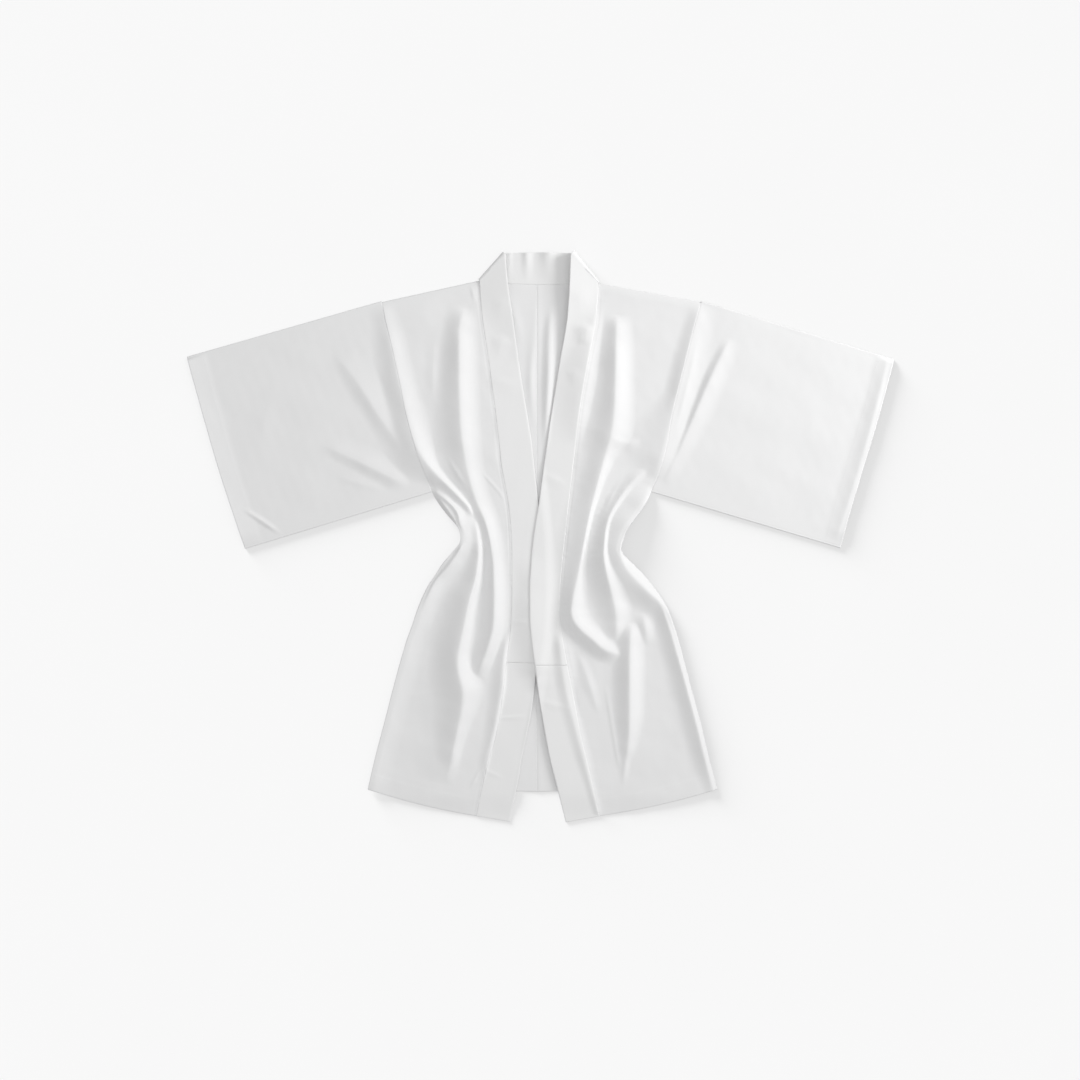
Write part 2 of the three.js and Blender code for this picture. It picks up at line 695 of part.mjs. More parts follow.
// The stretch behind the neck, with small gathers in its free edge.
const GATHERS = table('x height width', [
  [-37, 0.8, 16],
  [-16, 1, 20],
  [9, 0.9, 15],
]);
function neckRows() {
  return Array.from({ length: BAND_CELLS.neck + 1 }, (_, r) => {
    const along = r / BAND_CELLS.neck;
    const seam = lerp(BAND_ENDS.right.neck[0], BAND_ENDS.left.neck[0], along);
    const edge = lerp(BAND_ENDS.right.top[0], BAND_ENDS.left.top[0], along);
    return Array.from({ length: BAND_CELLS.across + 1 }, (__, c) => {
      const share = c / BAND_CELLS.across;
      const x = lerp(seam, edge, share);
      const y = lerp(neckSeamY(seam), COLLAR_TOP_Y - Math.abs(2 * along - 1), share);
      const waves = GATHERS.map((g) => g.height * Math.exp(-(((x - g.x) / g.width) ** 2 * 4)));
      const gather = GATHER_HEIGHT * Math.max(...waves) * share ** 2;
      return new THREE.Vector3(x, y, BAND / 2 + gather * Math.sin(Math.PI * along));
    });
  });
}

// The collar: one band from the right joining seam, round behind the neck, to the left one.
function collar() {
  return strip(
    [
      ...armRows('right'),
      ...turnRows('right'),
      ...neckRows(),
      ...turnRows('left').reverse(),
      ...armRows('left').reverse(),
    ],
    BAND,
  );
}

// The lower end of a band, from its joining seam to the hem.
function lowerBand(side) {
  const { join, hemSeam, hemEdge } = BAND_ENDS[side];
  const plan = (across, along) => {
    const start = join - SEAM_GAP;
    return bandPoint(side, lerp(start, hemSeam, along), lerp(start, hemEdge, along), across);
  };
  return panel({ across: BAND_CELLS.across, along: BAND_CELLS.lower }, plan, bandUnder(side), BAND);
}

// ---- The kimono ----
const WHITE = '#f1f0ee';
const BAND_WHITE = '#f3f2f0';
const kimono = new THREE.Group();
kimono.name = 'kimono';

function add(name, geometry, color) {
  const material = new THREE.MeshStandardMaterial({ color, roughness: 0.8, metalness: 0 });
  const mesh = new THREE.Mesh(geometry, material);
  mesh.name = name;
  kimono.add(mesh);
}

for (const side of ['right', 'left']) {
  add(`back_${side}`, back(side), WHITE);
  add(`front_${side}`, front(side), WHITE);
  add(`sleeve_${side}`, sleeve(side), WHITE);
  add(`band_lower_${side}`, lowerBand(side), BAND_WHITE);
}
add('collar', collar(), BAND_WHITE);

export default kimono;
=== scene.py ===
# %% [markdown]
# # A short white kimono, laid flat
#
# The kimono lies open on its back. Each piece of cloth becomes its own thin shell: two half
# backs, two fronts, two sleeves and the band, which has one long stretch round the neck and two
# short ones below. Lengths are in millimetres in this file and turn into metres when a mesh is
# made. "right" and "left" are the wearer's, so right is at -X.

# %% Load the frame
import json
import math

import bpy
import numpy as np
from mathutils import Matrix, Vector

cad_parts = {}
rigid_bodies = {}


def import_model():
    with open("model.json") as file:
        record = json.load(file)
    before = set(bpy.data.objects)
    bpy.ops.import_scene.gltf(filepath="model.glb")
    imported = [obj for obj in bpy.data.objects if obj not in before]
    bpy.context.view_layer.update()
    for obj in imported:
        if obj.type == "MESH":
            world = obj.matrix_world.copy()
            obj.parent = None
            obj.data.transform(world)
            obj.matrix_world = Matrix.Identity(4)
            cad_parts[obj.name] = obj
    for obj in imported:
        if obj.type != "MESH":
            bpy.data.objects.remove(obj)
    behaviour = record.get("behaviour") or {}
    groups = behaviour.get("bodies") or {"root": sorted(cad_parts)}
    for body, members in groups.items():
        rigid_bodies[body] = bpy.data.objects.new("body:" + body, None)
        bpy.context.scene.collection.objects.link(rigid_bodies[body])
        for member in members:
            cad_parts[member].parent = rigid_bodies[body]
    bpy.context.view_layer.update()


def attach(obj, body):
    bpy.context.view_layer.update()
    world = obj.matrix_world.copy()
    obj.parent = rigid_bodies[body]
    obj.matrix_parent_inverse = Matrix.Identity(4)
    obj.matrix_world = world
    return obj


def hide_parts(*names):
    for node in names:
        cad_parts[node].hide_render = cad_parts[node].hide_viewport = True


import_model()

MM = 0.001  # metres in a millimetre
scene = bpy.context.scene

# %% [markdown]
# ## Camera
#
# The camera hangs over the middle of the kimono and looks straight down, with +Y up in the
# frame. A long lens keeps the cloth's tall folds from leaning outwards. How high it hangs
# follows from the lens and from how much of the floor the frame takes in.

# %% Camera
VIEW_WIDTH = 1728  # of the floor across the frame
VIEW_CENTRE = (-0.8, -6.4)
LENS, SENSOR = 85, 36

camera_data = bpy.data.cameras.new("camera_above")
camera_data.lens, camera_data.sensor_width = LENS, SENSOR
camera = bpy.data.objects.new("camera_above", camera_data)
camera.location = (VIEW_CENTRE[0] * MM, VIEW_CENTRE[1] * MM, VIEW_WIDTH * MM * LENS / SENSOR)
scene.collection.objects.link(camera)
scene.camera = camera
print("camera height, m:", round(camera.location.z, 3))

# %% [markdown]
# ## Outlines
#
# The pattern of the kimono is a few curves: the outer edge of the body, the seams and free
# edges of the two bands, and the openings of the sleeves. Each is a short table, and a smooth
# curve through its rows gives every place between them. A spline object could do the same, but
# a table can be read at any height with one call.

# %% Sizes
CLOTH = 1.2  # what the frame keeps free for one layer of cloth
THIN = 0.6  # the thickness of one layer as it is modelled here
BAND = 1.7  # and of the doubled cloth of the band
# How far a layer lies above the one below it: at a seam, elsewhere, in a sleeve and at the lap.
SEAM_LIFT, LAYER_LIFT, SLEEVE_LIFT, LAP_LIFT = 0.35, 1.3, 0.9, 2.2
CENTRE_BACK_X = -6
SHOULDER_Y, UNDERARM_Y, SIDE_HEM_Y, BACK_HEM_Y = 374, 72, -405, -409
NECK_SEAM_Y, COLLAR_TOP_Y = 402, 453.5
HEM_BOW = 4  # how far the middle of a front's hem hangs lower than its ends
OUTWARD = {"right": -1, "left": 1}  # which way along X is away from the middle

# %% Outlines
# height, wearer's right, wearer's left
SIDES = [
    (374, -254, 257), (340, -247, 247), (312, -240, 240), (280, -233, 232), (245, -225, 223),
    (205, -217.5, 213), (178, -211, 207.5), (150, -203, 203), (125, -195, 197), (100, -185, 189),
    (75, -175.5, 179), (55, -165, 170), (35, -150, 156), (18, -135, 143), (8, -129, 137),
    (-10, -128.5, 131), (-25, -140, 129.5), (-45, -157, 148), (-62, -168, 165), (-80, -180, 180),
    (-110, -194, 200), (-145, -206, 214), (-170, -215, 221.5), (-230, -232, 237.5),
    (-300, -250, 256.5), (-345, -262, 267), (-405, -276, 283),
]
# height, right seam, right free edge, left free edge, left seam
BANDS = [
    (455, -101, -57, 47.5, 96), (409, -98, -53, 46.5, 93), (380, -96, -49, 45, 91.5),
    (340, -92, -43, 41.5, 88), (280, -83, -35, 31, 76.5), (220, -75, -25.5, 21.5, 65.5),
    (180, -70, -19, 15, 60), (145, -66, -13.5, 10, 56), (110, -62, -10, 5, 52),
    (50, -51.5, -3, -3, 45), (0, -47, 2, -11, 39.5), (-70, -46, 4, -17, 32.5),
    (-110, -46.3, 3.8, -17.3, 30), (-134, -47, 3, -17, 31), (-160, -49.5, 1, -15, 34.5),
    (-205, -54.8, -5.5, -9.4, 42.5), (-240, -59.2, -9.3, -5, 49.6), (-286, -65, -15.5, 2.3, 58.2),
    (-326, -73, -24, 9.3, 66.2), (-360, -83, -31, 16, 74.5), (-398, -93, -37.3, 25.5, 83.5),
    (-458, -105, -49.3, 40.5, 97),
]
# share of the way down the opening, right x, right y, left x, left y
CUFFS = [
    (0, -565, 285, 565, 281), (0.3, -540, 195, 542, 195), (0.6, -513, 102, 515, 105),
    (0.85, -488, 26, 492, 28), (1, -473, -19, 480, -18),
]
BAND_ENDS = {
    "right": dict(join=-203, hem_seam=-448, hem_edge=-457, neck=(-97.5, 408.5), top=(-56, 450)),
    "left": dict(join=-207, hem_seam=-448, hem_edge=-458, neck=(92.5, 404.5), top=(48, 450)),
}
TURN_RADIUS = {"neck": 1.9, "right": 5, "left": 8.5}


def curve_through(table, column):
    """A smooth curve through one column of a table, read at a value of the first column."""
    rows = np.array(sorted(table), float)
    keys, values = rows[:, 0], rows[:, column]
    slopes = np.gradient(values, keys)
    slopes[1:-1] = (values[2:] - values[:-2]) / (keys[2:] - keys[:-2])

    def read(at):
        at = np.asarray(at, float)
        i = np.clip(np.searchsorted(keys, at) - 1, 0, len(keys) - 2)
        span = keys[i + 1] - keys[i]
        t = (at - keys[i]) / span
        smooth = (
            (2 * t**3 - 3 * t**2 + 1) * values[i]
            + (t**3 - 2 * t**2 + t) * slopes[i] * span
            + (3 * t**2 - 2 * t**3) * values[i + 1]
            + (t**3 - t**2) * slopes[i + 1] * span
        )
        straight = values[i] + (values[i + 1] - values[i]) * t
        return np.where((t < 0) | (t > 1), straight, smooth)

    return read


side_x = {"right": curve_through(SIDES, 1), "left": curve_through(SIDES, 2)}
seam_x = {"right": curve_through(BANDS, 1), "left": curve_through(BANDS, 4)}
edge_x = {"right": curve_through(BANDS, 2), "left": curve_through(BANDS, 3)}
cuff_x = {"right": curve_through(CUFFS, 1), "left": curve_through(CUFFS, 3)}
cuff_y = {"right": curve_through(CUFFS, 2), "left": curve_through(CUFFS, 4)}


def mix(a, b, t):
    return a + (b - a) * t


def ease(value, low, high):
    """0 below low, 1 above high, with a smooth rise between."""
    t = np.clip((value - low) / (high - low), 0, 1)
    return t * t * (3 - 2 * t)


def shoulder_y(side, x):
    neck_x, neck_y = BAND_ENDS[side]["neck"]
    return mix(neck_y, SHOULDER_Y, (x - neck_x) / (side_x[side](SHOULDER_Y) - neck_x))


def neck_seam_y(x):
    (right_x, right_y), (left_x, left_y) = (BAND_ENDS[side]["neck"] for side in OUTWARD)
    is_right = x < CENTRE_BACK_X
    reach, end = np.where(is_right, right_x, left_x), np.where(is_right, right_y, left_y)
    return NECK_SEAM_Y + (end - NECK_SEAM_Y) * ((x - CENTRE_BACK_X) / (reach - CENTRE_BACK_X)) ** 2


print("waist as laid, mm:", round(float(side_x["left"](0) - side_x["right"](0)), 1))

# %% [markdown]
# ## Folds
#
# The waist is drawn in, so the cloth stands up in long soft folds that run up and down from it.
# Cloth simulation would make folds of its own, in other places on every run. Here each fold is
# written as the line of its crest: a place, a height, and how wide the slope is on its left and
# right side. The surface over any point is then a rounded ridge that fades to nothing at the foot
# of each slope. Where two folds meet they run together.

# %% The folds that the frame has too
# x, y, height, width to the left, width to the right, from top to bottom
BODY_FOLDS = {
    "right side": [
        (-172, 76, 0, 8, 20), (-153, 50, 8, 9, 40), (-133, 20, 13, 9, 58), (-128, -6, 14, 9, 62),
        (-145, -32, 11, 10, 50), (-176, -75, 7, 12, 34), (-206, -145, 5, 12, 30),
        (-232, -230, 5, 7, 36), (-256, -320, 5.5, 6, 36), (-272, -392, 5, 6, 36),
        (-280, -430, 0, 6, 36),
    ],
    "left side": [
        (178, 78, 0, 30, 10), (160, 45, 9, 52, 10), (136, 10, 15, 76, 10), (126, -22, 17, 80, 12),
        (136, -52, 15, 66, 34), (166, -84, 11, 40, 22), (200, -118, 8, 30, 12),
        (216, -165, 7, 32, 12), (236, -240, 6, 34, 12), (260, -330, 4, 32, 12),
        (276, -392, 0, 30, 12),
    ],
    "beside the neck, right": [
        (-9, 392, 0, 10, 6), (-10, 330, 0.5, 12, 8), (-15.5, 250, 1.8, 12, 11), (-10, 165, 0, 8, 9),
    ],
    "beside the neck, left": [
        (18, 372, 0, 10, 14), (14, 320, 3.6, 12, 14), (12, 240, 5.0, 12, 13), (6, 125, 0, 9, 10),
    ],
}
FRONT_FOLDS = {
    "right armhole": [
        (-254, 374, 0, 26, 24), (-247, 345, 3, 30, 26), (-238, 300, 6, 34, 28),
        (-226, 245, 8, 38, 30), (-215, 200, 9, 48, 34), (-204, 158, 11, 56, 34),
        (-190, 127, 11, 58, 26), (-171, 103, 7.5, 32, 15), (-151, 83, 7, 16, 12),
        (-131, 63, 8, 12, 11), (-117, 48, 6, 11, 9), (-107, 30, 0, 9, 7),
    ],
    "right main": [
        (-122, 366, 0, 26, 26), (-129, 336, 7, 30, 32), (-130, 290, 11, 34, 34),
        (-129, 210, 12, 46, 34), (-126, 160, 12, 50, 34), (-117, 105, 9, 46, 30),
        (-104, 60, 8, 24, 26), (-87, 20, 8, 13, 24), (-77, -30, 9, 14, 24),
        (-74, -80, 11, 22, 24), (-75, -140, 12, 26, 24), (-82, -172, 12, 26, 22),
        (-92, -200, 9, 22, 20), (-103, -228, 0, 18, 16),
    ],
    "right inner": [
        (-106, 26, 0, 10, 8), (-101, 0, 3.2, 12, 9), (-99, -30, 8, 18, 10), (-104, -68, 12, 36, 13),
        (-113, -100, 14, 52, 16), (-123, -148, 16, 54, 21), (-131, -190, 16, 50, 24),
        (-130, -218, 14, 52, 30), (-123, -246, 14, 52, 38), (-124, -272, 12, 50, 28),
        (-131, -305, 9, 46, 20), (-138, -340, 6, 36, 15), (-144, -378, 0, 24, 12),
    ],
    "right band seam": [
        (-50, -150, 0, 10, 7), (-58, -190, 4.5, 20, 7), (-62, -240, 6, 24, 8),
        (-70, -290, 5, 20, 7), (-82, -345, 3, 16, 6), (-94, -400, 0, 12, 5),
    ],
    "left armhole": [
        (257, 374, 0, 20, 24), (247, 338, 4, 22, 34), (232, 282, 6, 24, 40),
        (218, 226, 6.5, 24, 42), (205, 178, 7, 52, 44), (192, 130, 7, 64, 44),
        (180, 90, 0, 40, 24),
    ],
    "left main": [
        (121, 354, 0, 22, 28), (121, 326, 7, 28, 30), (120, 270, 11, 32, 32),
        (118, 205, 12, 42, 36), (113, 165, 12, 48, 38), (102, 125, 10, 42, 20),
        (91, 85, 9, 38, 12), (78, 35, 8, 44, 8), (68, -15, 8, 48, 8), (60, -60, 10, 36, 16),
        (51, -105, 12, 24, 28), (51, -130, 13, 22, 34), (64, -149, 12, 22, 28),
        (84, -166, 11, 24, 24), (104, -182, 9, 24, 22), (136, -192, 0, 20, 18),
    ],
    "left inner": [
        (174, 110, 0, 16, 12), (148, 88, 4, 18, 12), (126, 60, 5, 18, 9), (108, 27, 4.5, 20, 7),
        (101, -15, 5.5, 24, 7), (102, -46, 8.5, 30, 12), (111, -84, 11, 38, 24),
        (119, -116, 10, 38, 30), (121, -142, 7, 32, 24), (119, -170, 0, 22, 18),
    ],
    "left hip": [
        (146, -138, 0, 24, 20), (143, -168, 9, 29, 26), (142, -220, 12, 30, 28),
        (142, -290, 10.5, 28, 26), (140, -332, 6, 22, 18), (136, -362, 2.5, 14, 10),
        (132, -400, 0, 8, 8),
    ],
    "left slack": [(163, -122, 0, 16, 18), (167, -146, 4, 18, 20), (172, -176, 0, 16, 18)],
    "left band, top": [
        (89, 372, 0, 44, 16), (82, 330, 4, 50, 22), (71, 260, 6, 54, 26), (61, 200, 5, 50, 24),
        (53, 146, 0, 40, 18),
    ],
    "left band seam": [
        (28, -150, 0, 10, 20), (32, -180, 5, 16, 34), (36, -218, 4.5, 18, 26),
        (43, -258, 3.2, 18, 15), (54, -300, 3.2, 18, 15), (66, -345, 3.2, 16, 16),
        (78, -390, 2.6, 12, 14), (91, -440, 2, 9, 10),
    ],
}
SLEEVE_FOLDS = {
    "right long": [
        (-332, 292, 0, 20, 30), (-306, 264, 2.8, 24, 40), (-281, 228, 4.4, 25, 46),
        (-258, 192, 4.6, 26, 48), (-236, 160, 4, 28, 40), (-214, 126, 0, 28, 30),
    ],
    "right low": [
        (-352, 146, 0, 16, 22), (-316, 131, 3.2, 19, 32), (-276, 112, 4.6, 20, 34),
        (-240, 94, 4, 22, 30), (-210, 80, 0, 22, 24),
    ],
    "right corner": [
        (-476, 43, 0, 5, 6), (-456, 31, 2.2, 6, 7), (-432, 15, 2.4, 6, 7), (-412, 0, 1.2, 5, 6),
        (-404, -6, 0, 4, 5),
    ],
    "left long": [
        (304, 316, 0, 12, 20), (288, 286, 4, 14, 26), (268, 244, 5.5, 14, 30),
        (250, 202, 5, 12, 30), (230, 156, 3.5, 10, 26), (210, 112, 2, 9, 22), (196, 84, 0, 8, 18),
    ],
    "left cuff": [
        (554, 284, 0.8, 17, 9), (539, 218, 2, 20, 9), (505, 96, 1.8, 20, 9), (471, -8, 0.8, 17, 9),
    ],
    "right armhole": FRONT_FOLDS["right armhole"],
    "left armhole": FRONT_FOLDS["left armhole"],
}

# %% The rise of the cloth over a point
SPINE_STEPS = 6
CREST_SHARPNESS = 0.74  # below 1 the crest is a little creased
FOLD_BLEND = 3  # folds that meet run together instead of adding up
AT_ONCE = 20000  # points worked out together, to keep memory low


def crest_line(rows):
    """A fold's crest as short straight stretches: x, y, height and both widths at each end."""
    rows = np.array(rows, float)
    last = len(rows) - 1
    points = []
    for i in range(last):
        p, q, r, s = rows[max(0, i - 1)], rows[i], rows[i + 1], rows[min(last, i + 2)]
        for n in range(SPINE_STEPS + (i == last - 1)):
            t = n / SPINE_STEPS
            curved = q + 0.5 * t * (
                r - p + t * (2 * p - 5 * q + 4 * r - s + t * (3 * (q - r) + s - p))
            )
            height = mix(q[2], r[2], t * t * (3 - 2 * t))
            points.append((*curved[:2], height, *mix(q[3:], r[3:], t)))
    return np.array(points)


def fold_rise(crest, x, y):
    """The rise of one fold over each point. A height below 0 makes a trough."""
    a, b = crest[:-1], crest[1:]
    reach = crest[:, 3:].max()
    low, high = crest[:, :2].min(0) - reach, crest[:, :2].max(0) + reach
    near = np.flatnonzero((x > low[0]) & (x < high[0]) & (y > low[1]) & (y < high[1]))
    dx, dy = (b - a)[:, 0], (b - a)[:, 1]
    result = np.zeros_like(x)
    for part in np.array_split(near, max(1, len(near) // AT_ONCE)):
        if not len(part):
            continue
        from_x, from_y = x[part, None] - a[:, 0], y[part, None] - a[:, 1]
        t = np.clip((from_x * dx + from_y * dy) / (dx * dx + dy * dy), 0, 1)
        away = (from_x - t * dx) ** 2 + (from_y - t * dy) ** 2
        i = away.argmin(1)
        n = np.arange(len(part))
        t = t[n, i]
        is_right = dx[i] * (from_y[n, i] - t * dy[i]) - dy[i] * (from_x[n, i] - t * dx[i]) > 0
        width = np.where(is_right, mix(a[i, 4], b[i, 4], t), mix(a[i, 3], b[i, 3], t))
        share = np.minimum(1, np.sqrt(away[n, i]) / width) ** CREST_SHARPNESS
        result[part] = mix(a[i, 2], b[i, 2], t) * 0.5 * (1 + np.cos(np.pi * share))
    return result


def crests(folds):
    return [crest_line(rows) for rows in folds.values()]


BODY, FRONT, SLEEVE = crests(BODY_FOLDS), crests(FRONT_FOLDS), crests(SLEEVE_FOLDS)


def folded(lines, x, y, blend=FOLD_BLEND):
    """The rise of several folds together over points in arrays of any shape."""
    flat_x, flat_y = np.ravel(x).astype(float), np.ravel(y).astype(float)
    total = sum(fold_rise(line, flat_x, flat_y) ** blend for line in lines)
    return (total ** (1 / blend)).reshape(np.shape(x))


def creased(lines, x, y):
    """Small creases and troughs, which simply add up."""
    return folded(lines, x, y, blend=1)


print(f"folds: {len(BODY)} of the body, {len(FRONT)} of the fronts, {len(SLEEVE)} of the sleeves")

# %% [markdown]
# ## Layers
#
# Cloth lies on cloth: the back on the floor, the fronts on the back, the left band over the
# right one. So each layer starts from the top of what is under it. A layer on a slope is thicker
# when it is measured straight up, as a plank is that leans against a wall, and the same rule
# keeps the layers apart here.

# %% Layers
SLOPE_STEP = 1.5  # how far to each side a slope is measured
HEM_DROP = (BACK_HEM_Y - 42, BACK_HEM_Y - 2)  # below the back's hem the fronts come down
SEAM_EASE = dict(side=10, shoulder=12, underarm=26)  # how far from a seam the layers part
LAP_FALL = (2, 20)  # where the lap comes down, past the right band's free edge
STEEPEST = 0.2  # the least share of a normal that still points up
TINY = 1e-9


def back_under(x, y):
    return folded(BODY, x, y)


def back_top(x, y):
    slope_x = (back_under(x + SLOPE_STEP, y) - back_under(x - SLOPE_STEP, y)) / (2 * SLOPE_STEP)
    slope_y = (back_under(x, y + SLOPE_STEP) - back_under(x, y - SLOPE_STEP)) / (2 * SLOPE_STEP)
    return back_under(x, y) + CLOTH * np.sqrt(1 + slope_x**2 + slope_y**2)


def support(x, y):
    return back_top(x, y) * ease(y, *HEM_DROP)


def front_under(side, x, y):
    inward = np.abs(side_x[side](y)) - np.abs(x)
    above = ease(y, UNDERARM_Y, UNDERARM_Y + SEAM_EASE["underarm"])
    at_side = mix(ease(inward, 0, SEAM_EASE["side"]), 1, above)
    eased = at_side * ease(shoulder_y(side, x) - y, 0, SEAM_EASE["shoulder"])
    lift = mix(SEAM_LIFT, LAYER_LIFT, eased) * ease(y, *HEM_DROP)
    return support(x, y) + lift + folded(FRONT, x, y) * at_side


def band_under(side, x, y):
    lap = LAP_LIFT * (1 - ease(x - edge_x["right"](y), *LAP_FALL)) if side == "left" else 0
    return support(x, y) + LAYER_LIFT * ease(y, *HEM_DROP) + lap + folded(FRONT, x, y)


def grid_of(*parts):
    """One grid of points from arrays of their x, y and z, or of places in a UV map."""
    return np.stack(np.broadcast_arrays(*parts), 2)


def surface_normals(points):
    """The unit normal at each point of a grid of points."""
    normal = np.cross(np.gradient(points, axis=1), np.gradient(points, axis=0))
    return normal / np.maximum(np.linalg.norm(normal, axis=2, keepdims=True), TINY)


def steepness(x, y, z):
    """How much longer a wall's upright thickness is at each point of a sloping grid."""
    upright = np.abs(surface_normals(grid_of(x, y, z))[..., 2])
    return 1 / np.clip(upright, STEEPEST, 1)


# %% [markdown]
# ## Small creases
#
# Between the big folds the cloth is never quite flat. It has shallow creases across the band
# where it was folded away, puckers where a seam draws it in, and a faint unevenness everywhere.
# The creases are short crest lines like the big folds, and the unevenness is a sum of a few
# long waves in random directions, with a fixed seed.

# %% Small creases
FRONT_CREASES = crests({
    "right rim at the waist": [
        (-172, 72, 0, 5, 9), (-151, 58, 3, 6, 11), (-133, 38, 3.5, 7, 12), (-127, 12, 1.0, 6, 12),
        (-127, -6, 0.6, 6, 12), (-130, -24, 3, 7, 12), (-147, -49, 3.6, 7, 13),
        (-170, -76, 2.4, 6, 15), (-190, -120, 0, 5, 18),
    ],
    "left rim down the skirt": [
        (190, -105, 0, 16, 5), (205, -145, 2.0, 20, 5), (232, -235, 3.2, 24, 5),
        (256, -320, 4.4, 27, 5), (272, -375, 4.4, 26, 5), (278, -403, 2.4, 22, 5),
    ],
    "right skirt, swell": [
        (-146, -165, 0, 50, 24), (-133, -215, 3, 78, 30), (-126, -246, 4.5, 94, 36),
        (-127, -275, 5.0, 94, 28), (-132, -305, 5.0, 90, 22), (-139, -340, 4.8, 84, 17),
        (-146, -370, 3.4, 72, 18), (-152, -398, 0, 56, 22),
    ],
    "right pucker above the waist": [
        (-96, 104, 0, 4, 5), (-82, 88, 0.7, 4, 6), (-66, 70, 0.6, 4, 5), (-58, 56, 0, 4, 4),
    ],
    "left hook above the waist": [
        (110, 160, 0, 14, 10), (126, 151, 1.6, 20, 12), (144, 148, 1.8, 20, 12),
        (160, 154, 0, 14, 10),
    ],
    "right pucker at the shoulder": [
        (-112, 402, 0, 5, 5), (-108, 388, 0.8, 5, 6), (-104, 370, 0, 5, 5),
    ],
    "right pucker at the hem": [
        (-97, -372, 0, 4, 4), (-104, -388, 0.9, 5, 5), (-113, -404, 0, 5, 5),
    ],
    "left pucker at the seam": [
        (56, -180, 0, 8, 12), (68, -208, 1.4, 14, 14), (78, -236, 2.0, 18, 14),
        (86, -262, 1.2, 12, 12), (92, -284, 0, 8, 10),
    ],
    "left, thin": [
        (102, -230, 0, 5, 8), (112, -290, 0.9, 5, 9), (121, -345, 0.9, 5, 8), (126, -376, 0, 4, 6),
    ],
    "right chest, long": [
        (-168, 330, 0, 16, 16), (-172, 260, 1.2, 18, 18), (-170, 190, 0, 16, 16),
    ],
    "right, above the waist": [
        (-150, 128, 0, 7, 7), (-132, 98, 1.1, 8, 8), (-116, 74, 0, 7, 7),
    ],
    "left, above the waist": [
        (132, 96, 0, 7, 7), (112, 62, 1.0, 8, 7), (98, 30, 0, 7, 7),
    ],
    "right, below the waist": [
        (-92, -38, 0, 6, 6), (-98, -80, 0.9, 7, 7), (-104, -112, 0, 6, 6),
    ],
})
BAND_CREASES = crests({
    "right, below the neck": [
        (-80, 372, 0, 30, 12), (-62, 374, 1.6, 34, 14), (-46, 366, 0, 30, 12),
    ],
    "right, chest": [(-80, 312, 0, 30, 14), (-62, 311, 1.6, 34, 16), (-44, 302, 0, 30, 14)],
    "right, upper chest": [(-80, 250, 0, 24, 14), (-60, 246, 0.8, 26, 14), (-34, 238, 0, 24, 14)],
    "right, hip": [(-48, -139, 0, 9, 7), (-30, -137, 0.8, 9, 7), (-14, -136, 0, 9, 7)],
    "beside the lap": [
        (-14, -30, 0, 26, 40), (-18, -75, 3.2, 30, 50), (-18, -120, 5.6, 35, 56),
        (-15, -165, 6.4, 38, 58), (-8, -205, 5.2, 37, 56), (-5, -228, 1.8, 30, 48),
        (-3, -248, 0, 26, 40),
    ],
    "right, lower": [(-66, -291, 0.6, 8, 4), (-46, -289, 1.0, 8, 4), (-20, -288, 0, 8, 4)],
    "right, at the hem": [(-88, -374, 0.8, 8, 4), (-76, -380, 0.6, 8, 5), (-58, -388, 0, 7, 5)],
    "right, free edge": [
        (0, -215, 0, 5, 3), (-10, -255, 0.9, 6, 3), (-22, -320, 0.9, 6, 3), (-36, -395, 0.7, 6, 3),
        (-44, -430, 0, 5, 3),
    ],
    "left, below the neck": [(46, 384, 0, 36, 14), (64, 387, 2.2, 40, 17), (84, 380, 0, 36, 14)],
    "left, chest": [(48, 330, 0, 32, 13), (67, 332, 2.0, 36, 17), (84, 325, 0, 32, 13)],
    "left, dent at the chest": [
        (75, 340, 0, 28, 14), (74, 329, 1.4, 31, 15), (72, 316, 1.4, 31, 15), (70, 304, 0, 28, 14),
    ],
    "left, above the waist": [(40, 256, 0, 26, 14), (54, 258, 1.0, 28, 16), (70, 251, 0, 26, 14)],
    "left, at the lap": [(-4, 100, 0, 16, 10), (20, 92, 0.9, 18, 11), (44, 80, 0, 16, 10)],
    "left, lower": [(-6, -262, 0, 12, 8), (22, -270, 0.8, 13, 9), (50, -276, 0, 12, 8)],
    "left, lifted edge": [
        (-15, -168, 0, 3, 50), (-8, -205, 1.4, 3, 60), (1, -280, 2.2, 3, 70),
        (14, -350, 2.2, 3, 70), (27, -400, 1.6, 3, 70), (38, -448, 0, 3, 60),
    ],
})
SLEEVE_CREASES = crests({
    "right, across": [(-420, 250, 0, 26, 30), (-440, 190, 0.7, 28, 32), (-448, 120, 0, 26, 30)],
    "right, low": [(-330, 96, 0, 10, 12), (-290, 84, 0.8, 12, 14), (-244, 72, 0, 10, 12)],
    "left, across": [(410, 262, 0, 30, 32), (430, 200, 0.6, 32, 34), (436, 120, 0, 30, 32)],
    "left, beside the armhole": [
        (250, 318, 0, 7, 12), (240, 268, 0.8, 8, 14), (226, 210, 0.8, 8, 14), (214, 168, 0, 7, 12),
    ],
})
BACK_CREASES = crests({
    "seam allowance": [(-3, 398, 0.35, 5, 6), (-1, 0, 0.45, 6, 6), (-1, -408, 0.45, 7, 6)],
    "right, below the neck": [(-60, 396, 0, 12, 12), (-40, 350, 0.8, 12, 12), (-30, 300, 0, 9, 9)],
    "left, below the neck": [(44, 394, 0, 10, 10), (34, 362, 0.8, 10, 12), (26, 320, 0, 9, 9)],
})
